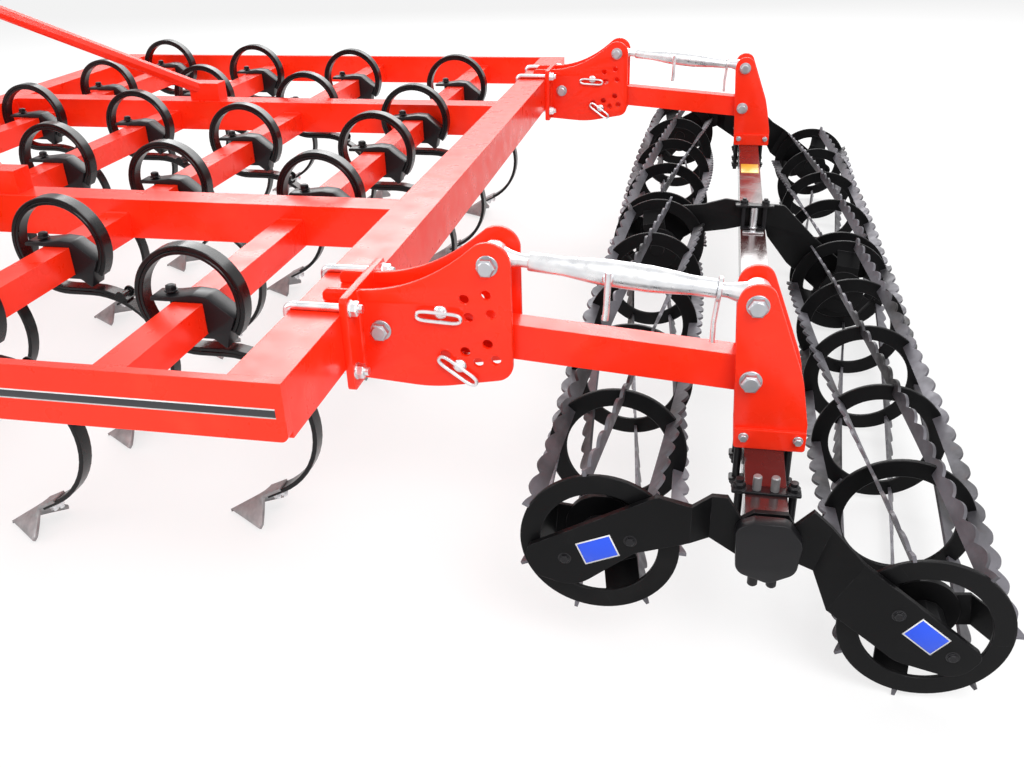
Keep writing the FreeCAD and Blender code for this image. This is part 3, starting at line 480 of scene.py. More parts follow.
def clamp_casting():
    """The clamp that hooks over the bar and holds both leaves behind it, and its bolt."""
    half = BAR / 2
    seat = leaf_line(LEAF_THICK / 2 + HELPER_THICK, HELPER_SWEEP, 0.0)
    first = seat[0][0]
    last = seat[3][0]
    corners = [(80, half + 0.5, 3), (80, half + 9, 4), (34, half + 11, 20), (-10, half + 17, 30),
               (-half - 10, half + 14, 14), (-last.x + 6, half - 24, 10), (-last.x, last.y),
               (-first.x, first.y), (-70, -64, 3), (-half - 12, -half - 11, 10), (50, -half - 11, 4),
               (50, -half - 0.5, 3), (-half, -half - 0.5), (-half, half + 0.5)]
    body = plate(corners, 0.0, 50.0, edge=2.4)
    ahead = 44.0
    bolt = [stood(bolt_end(12.0, tall=0.75), ahead, 0.0, half + 14.0),
            stood(bolt_end(11.0, tall=0.4), ahead, 0.0, -half - 10.8, up=-1),
            stood(lathe([(-60, 7), (60, 7)], 20), ahead, 0.0, 0.0)]
    return body, joined(bolt)


SHARE_REACH = 136.0
SHARE_SHANK = 50.0
SHARE_WIDE = 140.0
SHARE_BACK = 105.0


def duckfoot(bar_z):
    """A share whose shank folds into two swept wings, hollow on its front."""
    start = ARC_CENTRE + END_OUT * (ARC_RADIUS - LEAF_THICK / 2 - 3.5)
    knee = start + HEADING * SHARE_SHANK
    tip = Vector((start.x - SHARE_REACH, 6.0 - bar_z))
    wing = Vector((tip.x + SHARE_BACK, 11.0 - bar_z))
    rows = 14
    across = 8
    shank_part = 0.4
    wing_part = 0.62
    shank_half = 20.0
    knee_half = 22.0
    grid = []
    for row in range(rows + 1):
        part = row / rows
        if part < shank_part:
            down = part / shank_part
            spine = start.lerp(knee, down)
            edge = spine
            half = shank_half + (knee_half - shank_half) * down ** 2
        else:
            along = (part - shank_part) / (1.0 - shank_part)
            spine = knee.lerp(tip, along)
            if along < wing_part:
                edge = knee.lerp(wing, along / wing_part)
                half = knee_half + (SHARE_WIDE / 2 - knee_half) * (along / wing_part) ** 1.5
            else:
                past = (along - wing_part) / (1.0 - wing_part)
                edge = wing.lerp(tip, past)
                half = max(1.0, SHARE_WIDE / 2 * (1.0 - past))
        line = []
        for step in range(across + 1):
            side = 2.0 * step / across - 1.0
            place = spine.lerp(edge, abs(side) ** 1.4)
            line.append(Vector((-place.x, side * half, place.y)))
        grid.append(line)
    return grid


def solidified(grid, thick):
    """A sheet of points as a plate of even thickness."""
    mesh = bpy.data.meshes.new("sheet")
    wide = len(grid[0])
    faces = []
    for row in range(len(grid) - 1):
        for step in range(wide - 1):
            here = row * wide + step
            faces.append((here, here + 1, here + wide + 1, here + wide))
    mesh.from_pydata([point for line in grid for point in line], [], faces)
    holder = bpy.data.objects.new("sheet", mesh)
    bpy.context.scene.collection.objects.link(holder)
    thicken = holder.modifiers.new("thick", "SOLIDIFY")
    thicken.thickness = thick
    thicken.offset = 1.0
    ease = holder.modifiers.new("ease", "BEVEL")
    ease.width = 0.9
    ease.segments = 2
    ease.angle_limit = math.radians(50)
    bpy.context.view_layer.update()
    eased = holder.evaluated_get(bpy.context.evaluated_depsgraph_get())
    shown = eased.to_mesh()
    shape = ([point.co.copy() for point in shown.vertices], [tuple(face.vertices) for face in shown.polygons])
    eased.to_mesh_clear()
    bpy.data.objects.remove(holder)
    bpy.data.meshes.remove(mesh)
    return shape


def share_bolts():
    """The share's two bolts, in front of the leaf's end."""
    base = ARC_CENTRE + END_OUT * (ARC_RADIUS + LEAF_THICK / 2)
    tilt = math.degrees(math.atan2(END_OUT.x, -END_OUT.y))
    nut = turned(turned(bolt_end(9.0, tall=0.8, thread=5.0), "X", -90.0), "Y", tilt)
    parts = []
    for along in (10.0, 30.0):
        place = base + HEADING * along
        parts.append(moved(nut, -place.x, 0.0, place.y))
    return joined(parts)


def tine_places(row):
    """Where the row's tines stand: the bar's place (x, z) and each tine's place across.

    The shares' points, sorted across the machine, fall into one group for each tine."""
    low, high = box_mm(f"tine_bar_row_{row}")
    shares = frame["nodes"][f"shares_row_{row}"].data
    marks = sorted({round(point.co.y / MM, 1) for point in shares.vertices})
    tines = []
    for mark in marks:
        if not tines or mark - tines[-1][0] > SHARE_WIDE + 1:
            tines.append([mark, mark])
        tines[-1][1] = mark
    return (low.x + high.x) / 2, (low.z + high.z) / 2, [(first + last) / 2 for first, last in tines]


def build_tines():
    bar_z = tine_places(1)[1]
    main = leaf(0.0, LEAF_THICK, ARC_SWEEP, TAIL)
    helper = joined([leaf(LEAF_THICK / 2 + HELPER_THICK / 2 + 0.2, HELPER_THICK, HELPER_SWEEP), clip()])
    casting, bolt = clamp_casting()
    foot = solidified(duckfoot(bar_z), 6.5)
    fixings = share_bolts()
    # Piece, its shape at one tine, material slot, the solids that it replaces
    kinds = (("springs", main, "spring_steel", "tine_springs"),
             ("helpers", helper, "spring_steel", "tine_helpers"),
             ("castings", casting, "black_casting", "tine_clamps"),
             ("feet", foot, "share_steel", "shares"),
             ("clamp_bolts", bolt, "black_casting", None),
             ("share_bolts", fixings, "zinc", None))
    for row in ROWS:
        x, z, places = tine_places(row)
        for name, master, slot, node in kinds:
            copies = joined([moved(master, x, y, z) for y in places])
            taken = [f"{node}_row_{row}"] if node else ()
            make(f"{name}_row_{row}", copies, MATERIALS[slot], "frame", taken)


build_tines()

# Rollers

RING_WIDE = 35.0
RING_THICK = 8.0
SLATS = 7
# Each cage's rings' outer radius, its bars' tip radius, and their twist over a left section in degrees
CAGES = {"front": (133.0, 145.0, -75.0), "rear": (137.0, 150.0, 75.0)}
SECTION_RINGS = {"left": 6, "right": 5}
STUB_PAST = 8.0
TOOTH_PITCH = 59.0
TOOTH_DEEP = 13.0
TOOTH_LEAN = 1.35
TOOTH_ROUND = 0.75
SLAT_TALL = 32.0
SLAT_THICK = 6.0
SPIDER_TURN = {"front": -245.0, "rear": -292.0}
SPIDER_INSET = 50.0
STRAP_HALF_WIDE = 31.0
STRAP_HALF_THICK = 3.4
HUB_DISC = 62.0
SHAFT = 20.0


def toothed_slat(angle, twist, tip, y_from, y_to):
    """A wound flat bar whose outer edge has rounded teeth."""
    teeth = round((y_to - y_from) / TOOTH_PITCH)
    per_tooth = 10
    half = SLAT_THICK / 2
    loops = []
    for step in range(teeth * per_tooth + 1):
        part = step / (teeth * per_tooth)
        turn = math.radians(angle + twist * part)
        y = y_from + (y_to - y_from) * part
        phase = (step / per_tooth + 0.5) % 1.0
        wave = math.sin(math.pi * phase ** TOOTH_LEAN) ** TOOTH_ROUND
        top = tip - TOOTH_DEEP * (1.0 - wave)
        along = Vector((math.cos(turn), 0, math.sin(turn)))
        side = Vector((-math.sin(turn), 0, math.cos(turn))) * half
        level = Vector((0, y, 0))
        root = tip - SLAT_TALL
        loops.append([level + along * root - side, level + along * top - side,
                      level + along * top + side, level + along * root + side])
    return loft(loops)


def spider(ring_outer, y, inward, phase):
    """Three bent straps from the end ring to a hub disc set in from it."""
    parts = []
    run = [(ring_outer - 4.0, 0.0), (ring_outer - 30.0, 0.0), (78.0, SPIDER_INSET), (40.0, SPIDER_INSET)]
    for strap in range(3):
        loops = []
        for radius, depth in run:
            flat = y + inward * depth
            loops.append([Vector((radius, flat + out * STRAP_HALF_THICK, side * STRAP_HALF_WIDE))
                          for out, side in ((-1, -1), (1, -1), (1, 1), (-1, 1))])
        parts.append(turned(loft(loops), "Y", phase + 120.0 * strap))
    parts.append(moved(lathe([(-6.0, HUB_DISC), (6.0, HUB_DISC)], 48), y=y + inward * SPIDER_INSET))
    return joined(parts)


def build_rollers():
    for name, axle in AXLES.items():
        ring_outer, tip, full_twist = CAGES[name]
        left_low, left_high = box_mm(f"roller_{name}_left")
        full = left_high.y - left_low.y - 2 * STUB_PAST
        for side, rings in SECTION_RINGS.items():
            node = f"roller_{name}_{side}"
            low, high = box_mm(node)
            y_from = low.y + STUB_PAST
            y_to = high.y - STUB_PAST
            twist = full_twist * (y_to - y_from) / full
            hoops = []
            for index in range(rings):
                y = y_from + (y_to - y_from) * index / (rings - 1)
                hoops.append(moved(ring(ring_outer - RING_WIDE, ring_outer, RING_THICK), y=y))
            for y, inward, phase in ((y_from, 1, twist), (y_to, -1, 0.0)):
                hoops.append(spider(ring_outer, y, inward, SPIDER_TURN[name] + phase))
                ends = sorted((y + inward * (SPIDER_INSET + 10.0), y - inward * STUB_PAST))
                hoops.append(lathe([(ends[0], SHAFT), (ends[1], SHAFT)], 32))
            past = RING_THICK / 2 - 0.6
            bars = [toothed_slat(360.0 * index / SLATS, twist, tip, y_from - past, y_to + past)
                    for index in range(SLATS)]
            body = moved(joined(hoops), axle.x, 0.0, axle.z)
            slats = moved(joined(bars), axle.x, 0.0, axle.z)
            make(f"cage_{name}_{side}", body, MATERIALS["black_paint"], node, [node])
            make(f"slats_{name}_{side}", slats, SLAT_FINISH, node)


build_rollers()

# Brackets, cheeks and their bolts. Hole places are (distance behind the frame, height over its top).

BRACKET_GAP = 82.0
PLATE = 10.0
PLATE_FACE = BRACKET_GAP / 2 + PLATE
FLANGE = 15.0
PIN = 9.0
DEPTH_HOLES = ((216, 18), (257, 28), (223, -17), (265, -9), (175, -96), (214, -87), (257, -69), (238, -108),
               (272, -101))
DEPTH_PINS = ((172, -8), (203, -115))
PIN_LEANS = (-3.0, -36.0)
PIVOT_BOLT = 12.0
LOBE = 42.0
UBOLT_HALF = 95.0
UBOLT = 8.0
CHEEK_FOOT = D.z - 123.0


def behind(points):
    """Turn (distance behind the frame, height over its top) into machine places."""
    return [(REAR_FACE - point[0], TOP + point[1], *point[2:]) for point in points]


def build_brackets():
    lobe = (REAR_FACE - B.x, B.z - TOP)
    back = lobe[0] + LOBE
    toe = 25.0
    corners = [(-55, 0.5, 5), (-55, toe, 13)]
    sweep_turn = math.radians(45)
    sweep_end = (lobe[0] - LOBE * math.cos(sweep_turn), lobe[1] + LOBE * math.sin(sweep_turn))
    for step in range(13):
        part = step / 12
        corners.append((sweep_end[0] * part, toe + (sweep_end[1] - toe) * part ** 2.25))
    for degrees in range(125, -1, -9):
        turn = math.radians(degrees)
        corners.append((lobe[0] + LOBE * math.cos(turn), lobe[1] + LOBE * math.sin(turn)))
    corners = behind(corners + [(back, -138, 34), (150, -166, 300), (0.5, -154), (0.5, 0.5)])
    holes = behind([(*spot, PIN + 0.5) for spot in DEPTH_HOLES] + [(*spot, PIN) for spot in DEPTH_PINS])
    parts = []
    for y in SIDES:
        for hand in (-1, 1):
            parts.append(plate(corners, y + hand * (BRACKET_GAP + PLATE) / 2, PLATE, holes))
            bead = [Vector((REAR_FACE - FLANGE, y + hand * (PLATE_FACE + 1.5), TOP + level))
                    for level in range(-148, 28, 6)]
            parts.append(pipe(bead, 4.0, 8))
        points, faces = plate([(-112, -154, 10), (112, -154, 10), (112, 31, 10), (-112, 31, 10)], 0.0, FLANGE)
        middle = REAR_FACE - FLANGE / 2
        flange = [Vector((middle + point.y, y + point.x, TOP + point.z)) for point in points]
        parts.append((flange, faces))
    make("bracket_plates", joined(parts), MATERIALS["red_paint"], "frame", ["roller_brackets"])


def build_cheeks():
    low = CHEEK_FOOT
    front = D.x + 21.0
    back = front - 127.0
    corners = [(front, low + 0.5), (C.x + 35, C.z, 60), (C.x + 26, C.z + 38, 34), (C.x - 24, C.z + 38, 30),
               (back + 16, D.z + 8, 200), (back, low + 40, 40), (back, low + 0.5)]
    strap = [(back, low - 12, 6), (back, low + 28, 4), (front, low + 28, 4), (front, low - 12, 6)]
    saddle = [(back, low - 12, 3), (back, low, 1.5), (front, low, 1.5), (front, low - 12, 3)]
    parts = []
    for y in SIDES:
        for hand in (-1, 1):
            parts.append(plate(corners, y + hand * (PLATE_FACE - PLATE / 2), PLATE))
            parts.append(plate(strap, y + hand * (PLATE_FACE + 3.0), 6.0))
        parts.append(plate(saddle, y, 2 * PLATE_FACE))
    make("cheek_plates", joined(parts), MATERIALS["red_paint"], "carrier", ["cheeks"])


def cross_bolt(x, z, y):
    """Head, nut, washers and shank of a pivot bolt across a pair of plates."""
    near = moved(bolt_end(PIVOT_BOLT * 1.48), x, y + PLATE_FACE, z)
    far = moved(turned(bolt_end(PIVOT_BOLT * 1.5, thread=4.0), "X", 180.0), x, y - PLATE_FACE, z)
    shank = moved(lathe([(-PLATE_FACE, PIVOT_BOLT), (PLATE_FACE, PIVOT_BOLT)], 32), x, y, z)
    return joined([near, far, shank])


def loop_pin(x, z, y, lean):
    """A depth pin with its long wire handle."""
    reach = PLATE_FACE
    shank = lathe([(-reach - 12, 7.5), (-reach - 10, PIN - 0.2), (reach + 5, PIN - 0.2),
                   (reach + 8, PIN - 2.5)], 28)
    collar = lathe([(reach, 13.0), (reach + 4, 13.0), (reach + 6, 10.0)], 28)
    wire = []
    long_half = 42.0
    short_half = 9.0
    for step in range(40):
        turn = math.tau * step / 40
        wire.append(Vector((long_half * math.copysign(abs(math.cos(turn)) ** 0.35, math.cos(turn)), 0.0,
                            short_half * math.copysign(abs(math.sin(turn)) ** 0.8, math.sin(turn)))))
    handle = turned(pipe(wire, 3.6, 10, closed=True), "Y", lean)
    handle = moved(handle, 3.0, reach + 9.0, -8.0)
    return moved(joined([shank, collar, handle]), x, y, z)


def beam_ubolt(across):
    """The U-bolt round the rear beam at a place across it, and its two nuts, as a list of shapes."""
    ahead = REAR_FACE + BEAM + UBOLT
    high = TOP + UBOLT
    low = TOP - BEAM_TALL - UBOLT
    bend = 12.0
    corner = []
    for cx, cz, start in ((ahead - bend, high - bend, 90.0), (ahead - bend, low + bend, 0.0)):
        for step in range(7):
            turn = math.radians(start - 15.0 * step)
            corner.append(Vector((cx + bend * math.cos(turn), across, cz + bend * math.sin(turn))))
    nut_face = REAR_FACE - FLANGE
    end = nut_face - 24.0
    path = [Vector((end, across, high))] + corner + [Vector((end, across, low))]
    nut = turned(bolt_end(14.5, tall=0.9), "Z", 90.0)
    return [pipe(path, UBOLT, 16)] + [moved(nut, nut_face, across, level) for level in (high, low)]


def build_fixings():
    frame_bolts = []
    cheek_bolts = []
    pins = []
    bars = []
    for y in SIDES:
        frame_bolts += [cross_bolt(spot.x, spot.z, y) for spot in (A, B)]
        cheek_bolts += [cross_bolt(spot.x, spot.z, y) for spot in (C, D)]
        for (rearward, height), lean in zip(DEPTH_PINS, PIN_LEANS):
            pins.append(loop_pin(REAR_FACE - rearward, TOP + height, y, lean))
        for hand in (-1, 1):
            bars += beam_ubolt(y + hand * UBOLT_HALF)
        for x in (D.x + 4.0, D.x - 92.0):
            for hand in (-1, 1):
                small = bolt_end(8.0, tall=0.8)
                if hand < 0:
                    small = turned(small, "X", 180.0)
                cheek_bolts.append(moved(small, x, y + hand * (PLATE_FACE + 6.0), CHEEK_FOOT + 12.0))
    make("pivot_bolts", joined(frame_bolts), BOLT_FINISH, "frame", ["bracket_bolts"])
    make("carrier_bolts", joined(cheek_bolts), BOLT_FINISH, "carrier", ["cheek_bolts"])
    make("loop_pins", joined(pins), MATERIALS["zinc"], "frame", ["depth_pins"])
    make("beam_ubolts", joined(bars), MATERIALS["zinc"], "frame", ["bracket_ubolts"])


def build_turnbuckles():
    span = C - B
    length = span.length
    slope = math.degrees(math.atan2(span.z, -span.x))
    # Distance from the front eye, and radius
    body = [(20.0, 21.0), (34.0, 15.5), (48.0, 12.5), (66.0, 12.5), (66.5, 16.5), (70.0, 17.5),
            (0.28 * length, 18.0), (0.38 * length, 22.5), (0.44 * length, 24.5), (0.60 * length, 24.5),
            (0.66 * length, 22.5), (0.76 * length, 18.0), (length - 74.0, 17.5), (length - 70.5, 16.5),
            (length - 70.0, 12.5), (length - 50.0, 13.5), (length - 36.0, 17.0), (length - 20.0, 21.0)]
    nut = lathe([(0.0, 21.5), (1.2, 23.5), (6.8, 23.5), (8.0, 21.5)], 40)
    lever = [Vector((-length + 66.0, 8, -12)), Vector((-length + 66.0, 10, -60)),
             Vector((-length + 62.0, 11, -98))]
    grip = [Vector((-0.45 * length, 30.0, 13)), Vector((-0.45 * length, 30.0, 6)),
            Vector((-0.46 * length, 30.0, -60)), Vector((-0.46 * length, 30.0, -78))]
    for side, y in zip(("left", "right"), SIDES):
        parts = [turned(lathe(body, 40), "Z", 90.0)]
        for x in (0.0, -length):
            parts.append(moved(ring(13.3, 25.0, 40.0, 2.0, 48), x=x))
        parts.append(moved(turned(nut, "Z", 90.0), x=-length + 70.0))
        parts.append(pipe(lever, 4.8, 12))
        parts.append(pipe(grip, 6.2, 14))
        parts.append(moved(lathe([(0.0, 10.0), (9.0, 10.0), (11.0, 8.0)], 20), -0.45 * length, 22.0, 0.0))
        shape = moved(turned(joined(parts), "Y", slope), B.x, y, B.z)
        make(f"link_{side}", shape, MATERIALS["zinc"], f"link_{side}", [f"turnbuckle_{side}"])


build_brackets()
build_cheeks()
build_fixings()
build_turnbuckles()

# Carrier details: middle support, caps, clamp bolts and blank plates

TUBE = box_mm("cross_tube")
TUBE_UNDER = TUBE[0].z
TUBE_TOP = TUBE[1].z
TUBE_MIDDLE = (TUBE[0] + TUBE[1]) / 2
END_FACE = box_mm("end_arms")[1].y
PLATE_LEAN = {"front": 24.0, "rear": -38.0}
CAP_Y = 1417.0
# Each clamp's place across, and whether it passes over the tube
CLAMPS = ((1062.0, False), (1150.0, False), (1302.0, True))
OVER_Y = 1302.0


def carrier_place(corners):
    """Turn (distance behind the tube's middle, height over it) into machine places."""
    return [(TUBE_MIDDLE.x - point[0], TUBE_MIDDLE.z + point[1], *point[2:]) for point in corners]


def build_middle_support():
    """The plate that carries the rollers' inner ends, clamped on top of the cross tube."""
    low, high = box_mm("middle_arms")
    y = (low.y + high.y) / 2
    corners = carrier_place([(-305, 30, 34), (-262, 86, 30), (-147, 97, 60), (-82, 116, 24), (0, 104),
                             (84, 102, 20), (178, 8, 60), (300, -92, 36), (305, -160, 34), (215, -165, 40),
                             (106, -72, 60), (43, 8, 10), (36, 34), (-36, 34), (-76, 24, 20), (-190, 6, 30),
                             (-226, -52, 30), (-300, -52, 34)])
    parts = [plate(corners, y, 10.0)]
    bearing = lathe([(-37.0, 33.0), (-36.0, 35.0), (36.0, 35.0), (37.0, 33.0)], 40)
    for axle in AXLES.values():
        parts.append(moved(bearing, axle.x, y, axle.z))
    make("middle_support", joined(parts), MATERIALS["black_paint"], "carrier", ["middle_arms"])
    hardware = []
    shiny = []
    beside = y + 26.0
    for ahead in (-1, 1):
        x = TUBE_MIDDLE.x + ahead * 30.0
        stem = lathe([(TUBE_TOP - 0.5, 6.0), (TUBE_TOP + 92.0, 6.0)], 16)
        hardware.append(stood(stem, x, beside, 0.0))
        hardware.append(stood(bolt_end(11.0), x, beside, TUBE_TOP + 74.0))
    for z, half in ((TUBE_TOP + 71.0, 54), (TUBE_TOP + 3.0, 34)):
        bar = plate([(-half, -13, 5), (half, -13, 5), (half, 13, 5), (-half, 13, 5)], 0.0, 6.0)
        hardware.append(stood(bar, TUBE_MIDDLE.x, beside, z))
    post = lathe([(0.0, 15.0), (8.0, 15.0), (9.0, 11.0), (66.0, 11.0)], 28)
    shiny.append(stood(post, TUBE_MIDDLE.x, beside, TUBE_TOP))
    strip = plate([(-30, -9, 3), (30, -9, 3), (30, 9, 3), (-30, 9, 3)], 0.0, 5.0)
    shiny.append(stood(strip, TUBE_MIDDLE.x, y + 62.0, TUBE_TOP + 2.4))
    make("support_clamp", joined(hardware), MATERIALS["black_casting"], "carrier")
    make("support_post", joined(shiny), MATERIALS["zinc"], "carrier")


def build_end_caps():
    """The rounded cap over each end of the tube, with its bolts, and the clamps beside it."""
    caps = []
    bolts = []
    prongs = []
    middle = TUBE_MIDDLE.x
    cap = carrier_place([(-52, 44, 18), (-23, 58, 16), (31, 58, 18), (56, 24, 26), (50, -36, 24),
                         (8, -60, 18), (-46, -42, 22)])
    for sign in (1, -1):
        caps.append(plate(cap, sign * CAP_Y, 26.0, edge=4.0))
        for x in (middle - 14.0, middle + 16.0):
            stem = lathe([(TUBE_UNDER - 36.0, 7.0), (TUBE_UNDER - 34.0, 8.5), (TUBE_UNDER - 6.0, 8.5)], 20)
            bolts.append(stood(stem, x, sign * CAP_Y, 0.0))
            prong = lathe([(0.0, 7.5), (26.0, 7.5), (28.0, 6.0)], 20)
            prongs.append(stood(prong, x, sign * OVER_Y, TUBE_TOP + 4.0))
        for place, over in CLAMPS:
            y = sign * place
            top = TUBE_TOP + (4.0 if over else 0.0)
            for x in (middle - 45.0, middle + 45.0):
                stem = lathe([(TUBE_UNDER - 24.0, 7.0), (top + (20.0 if over else -0.5), 7.0)], 20)
                bolts.append(stood(stem, x, y, 0.0))
                bolts.append(stood(bolt_end(11.0), x, y, TUBE_UNDER - 4.0, up=-1))
                if over:
                    bolts.append(stood(bolt_end(11.0), x, y, top))
            for z in (top - 1.5, TUBE_UNDER - 2.0) if over else (TUBE_UNDER - 2.0,):
                bar = plate([(-58, -12, 4), (58, -12, 4), (58, 12, 4), (-58, 12, 4)], 0.0, 5.0)
                bolts.append(stood(bar, middle, y, z))
        for name, axle in AXLES.items():
            for along in (-58.0, 60.0):
                spot = Vector((along, 0, 0))
                spot.rotate(Matrix.Rotation(math.radians(PLATE_LEAN[name]), 3, "Y"))
                head = bolt_end(8.0, washer=1.4, tall=0.5)
                head = head if sign > 0 else turned(head, "X", 180.0)
                bolts.append(moved(head, axle.x + spot.x, sign * (END_FACE - 2.5), axle.z + spot.z))
    make("end_caps", joined(caps), MATERIALS["black_casting"], "carrier")
    make("clamp_hardware", joined(bolts), MATERIALS["black_casting"], "carrier")
    make("clamp_prongs", joined(prongs), MATERIALS["share_steel"], "carrier")


def decal(name, corners, y, material, body, lift=0.35):
    """A thin blank plate or stripe on an X-Z face; negative y faces the other way."""
    face = plate(corners, y + math.copysign(lift / 2, y), lift, edge=0.05)
    make(name, face, material, body)


def build_decals():
    low, high = box_mm("side_bar_left")
    side_face = high.y
    tall = 108.0
    start = REAR_FACE + 16.0
    end = high.x - 60.0
    # Stripe, its top and bottom as shares of the side bar's height, finish, thickness
    bands = (("stripe_white", 0.43, 0.60, STRIPE_WHITE, 0.3), ("stripe_black", 0.455, 0.575, STRIPE_BLACK, 0.6))
    # Plate, half its length and height, finish, thickness
    labels = (("rim", 31.0, 22.0, STRIPE_WHITE, 0.3), ("plate", 28.5, 19.5, PLATE_BLUE, 0.6))
    for sign, side in ((1, "left"), (-1, "right")):
        for name, top, bottom, material, lift in bands:
            box = [(start, TOP - tall * bottom), (end, TOP - tall * bottom), (end, TOP - tall * top),
                   (start, TOP - tall * top)]
            decal(f"{name}_{side}", box, sign * side_face, material, "frame", lift)
        for name, axle in AXLES.items():
            lean = math.radians(-PLATE_LEAN[name])
            for label, half_long, half_tall, material, lift in labels:
                box = []
                for right, up in ((-1, -1), (1, -1), (1, 1), (-1, 1)):
                    dx = right * half_long
                    dz = up * half_tall
                    box.append((axle.x + dx * math.cos(lean) - dz * math.sin(lean),
                                axle.z + dx * math.sin(lean) + dz * math.cos(lean)))
                label_name = f"{label}_{name}_{side}"
                decal(label_name, box, sign * END_FACE, material, "carrier", lift)
    patch = plate([(-30, -56), (30, -56), (30, 56), (-30, 56)], 0.0, 0.6, edge=0.05)
    flat = stood(patch, TUBE_MIDDLE.x, -724.0, TUBE_TOP + 0.4)
    make("warning_patch", flat, PLATE_YELLOW, "carrier")


build_middle_support()
build_end_caps()
build_decals()

LONG_FACES = (525.0, 605.0)


def weld_beads():
    """Fillet welds where the tine bars and longitudinals meet their neighbours."""
    parts = []
    for row in ROWS:
        low, high = box_mm(f"tine_bar_row_{row}")
        for sign in (1, -1):
            for y in (*(sign * face for face in LONG_FACES), sign * high.y):
                edge = [Vector((low.x + 3, y, high.z)), Vector((high.x - 3, y, high.z))]
                parts.append(pipe([edge[0].lerp(edge[1], step / 12) for step in range(13)], 3.2, 8))
    for side in ("left", "right"):
        low, high = box_mm(f"longitudinal_{side}")
        levels = range(int(low.z) + 4, int(high.z) - 2, 8)
        for x in (low.x, high.x):
            for y in (low.y, high.y):
                parts.append(pipe([Vector((x, y, z)) for z in levels], 3.4, 8))
    make("weld_beads", joined(parts), MATERIALS["red_paint"], "frame")


weld_beads()

# Floor, light and camera: metres and watts

SKY_LIGHT = 0.62
FLOOR_GLOW = 0.72
FLOOR_REACH = 60.0
# Name, place, aim, width, height and power
SOFTBOXES = (("key", (-3.4, 4.6, 5.2), (-0.6, 0.6, 0.4), 3.5, 3.0, 290.0),
             ("sky", (0.2, -5.4, 3.9), (-0.6, 0.4, 0.5), 7.0, 3.0, 400.0),
             ("fill", (4.5, 3.5, 3.0), (0.0, 0.5, 0.4), 3.0, 3.0, 110.0))
def seen_or_glossy(tree):
    """1 for what the camera or a reflection sees, 0 for the light that falls on the machine."""
    rays = tree.nodes.new("ShaderNodeLightPath")
    either = tree.nodes.new("ShaderNodeMath")
    either.operation = "MAXIMUM"
    tree.links.new(rays.outputs["Is Camera Ray"], either.inputs[0])
    tree.links.new(rays.outputs["Is Glossy Ray"], either.inputs[1])
    return either.outputs["Value"]


def studio_world():
    """Soft light on the machine, and plain white for what the camera sees behind it."""
    world = bpy.data.worlds.new("studio")
    bpy.context.scene.world = world
    world.use_nodes = True
    tree = world.node_tree
    soft = tree.nodes["Background"]
    soft.inputs["Color"].default_value = (1.0, 1.0, 1.0, 1.0)
    soft.inputs["Strength"].default_value = SKY_LIGHT
    white = tree.nodes.new("ShaderNodeBackground")
    white.inputs["Color"].default_value = (1.0, 1.0, 1.0, 1.0)
    white.inputs["Strength"].default_value = 1.0
    both = tree.nodes.new("ShaderNodeMixShader")
    tree.links.new(seen_or_glossy(tree), both.inputs["Fac"])
    tree.links.new(soft.outputs["Background"], both.inputs[1])
    tree.links.new(white.outputs["Background"], both.inputs[2])
    tree.links.new(both.outputs["Shader"], tree.nodes["World Output"].inputs["Surface"])


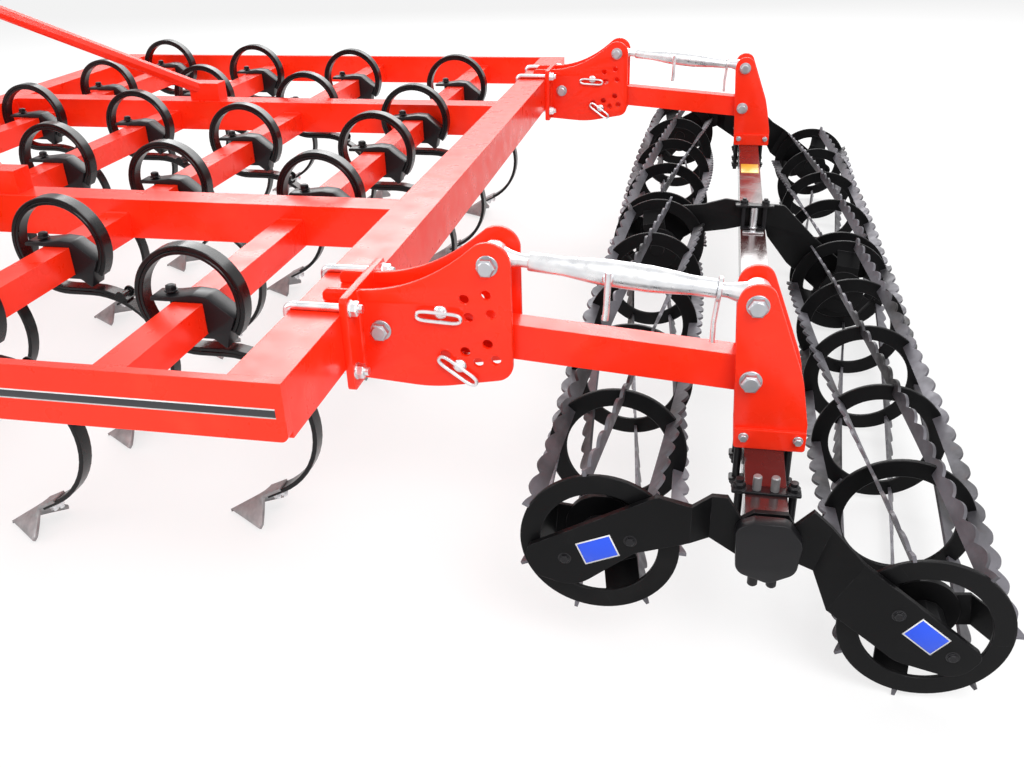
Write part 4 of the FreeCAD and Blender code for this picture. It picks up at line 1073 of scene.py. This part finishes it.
def studio_floor():
    """A pale floor that glows a little for the camera, so that it runs out to white."""
    mesh = bpy.data.meshes.new("floor")
    reach = FLOOR_REACH
    corners = [(-reach, -reach, 0), (reach, -reach, 0), (reach, reach, 0), (-reach, reach, 0)]
    mesh.from_pydata(corners, [], [(0, 1, 2, 3)])
    floor = bpy.data.objects.new("floor", mesh)
    bpy.context.scene.collection.objects.link(floor)
    pale = bpy.data.materials.new("pale_floor")
    pale.use_nodes = True
    tree = pale.node_tree
    shader = tree.nodes["Principled BSDF"]
    shader.inputs["Base Color"].default_value = (0.93, 0.93, 0.93, 1.0)
    shader.inputs["Roughness"].default_value = 0.9
    shader.inputs["Specular IOR Level"].default_value = 0.1
    glow = tree.nodes.new("ShaderNodeEmission")
    glow.inputs["Strength"].default_value = 1.0
    part = tree.nodes.new("ShaderNodeMath")
    part.operation = "MULTIPLY"
    part.inputs[1].default_value = FLOOR_GLOW
    mixed = tree.nodes.new("ShaderNodeMixShader")
    tree.links.new(seen_or_glossy(tree), part.inputs[0])
    tree.links.new(part.outputs["Value"], mixed.inputs["Fac"])
    tree.links.new(shader.outputs["BSDF"], mixed.inputs[1])
    tree.links.new(glow.outputs["Emission"], mixed.inputs[2])
    tree.links.new(mixed.outputs["Shader"], tree.nodes["Material Output"].inputs["Surface"])
    mesh.materials.append(pale)


def softbox(name, place, aim, wide, tall, power):
    lamp = bpy.data.lights.new(name, "AREA")
    lamp.shape = "RECTANGLE"
    lamp.size = wide
    lamp.size_y = tall
    lamp.energy = power
    holder = bpy.data.objects.new(name, lamp)
    holder.location = place
    holder.rotation_euler = (Vector(aim) - Vector(place)).to_track_quat("-Z", "Y").to_euler()
    bpy.context.scene.collection.objects.link(holder)


# The camera stands at the left, level with the rear beam, and looks down and forward across the roller.
EYE = Vector((REAR_FACE - 641.0, 2739.0, 1255.0)) * MM
FORWARD = Vector((0.186, -0.865, -0.466)).normalized()
RIGHT = Vector((-0.978, -0.210, 0.0)).normalized()
ROLL = math.radians(1.69)
SENSOR_WIDE = 36.0
FOCAL_LENGTH = 34.4


def studio_camera():
    level_down = FORWARD.cross(RIGHT).normalized()
    right = RIGHT * math.cos(ROLL) + level_down * math.sin(ROLL)
    down = level_down * math.cos(ROLL) - RIGHT * math.sin(ROLL)
    lens = bpy.data.cameras.new("camera")
    lens.sensor_width = SENSOR_WIDE
    lens.lens = FOCAL_LENGTH
    camera = bpy.data.objects.new("camera", lens)
    camera.matrix_world = Matrix((
        (right.x, -down.x, -FORWARD.x, EYE.x),
        (right.y, -down.y, -FORWARD.y, EYE.y),
        (right.z, -down.z, -FORWARD.z, EYE.z),
        (0.0, 0.0, 0.0, 1.0)))
    bpy.context.scene.collection.objects.link(camera)
    bpy.context.scene.camera = camera


studio_world()
studio_floor()
for box_name, place, aim, wide, tall, power in SOFTBOXES:
    softbox(box_name, place, aim, wide, tall, power)
studio_camera()
bpy.context.scene.view_settings.view_transform = "Standard"
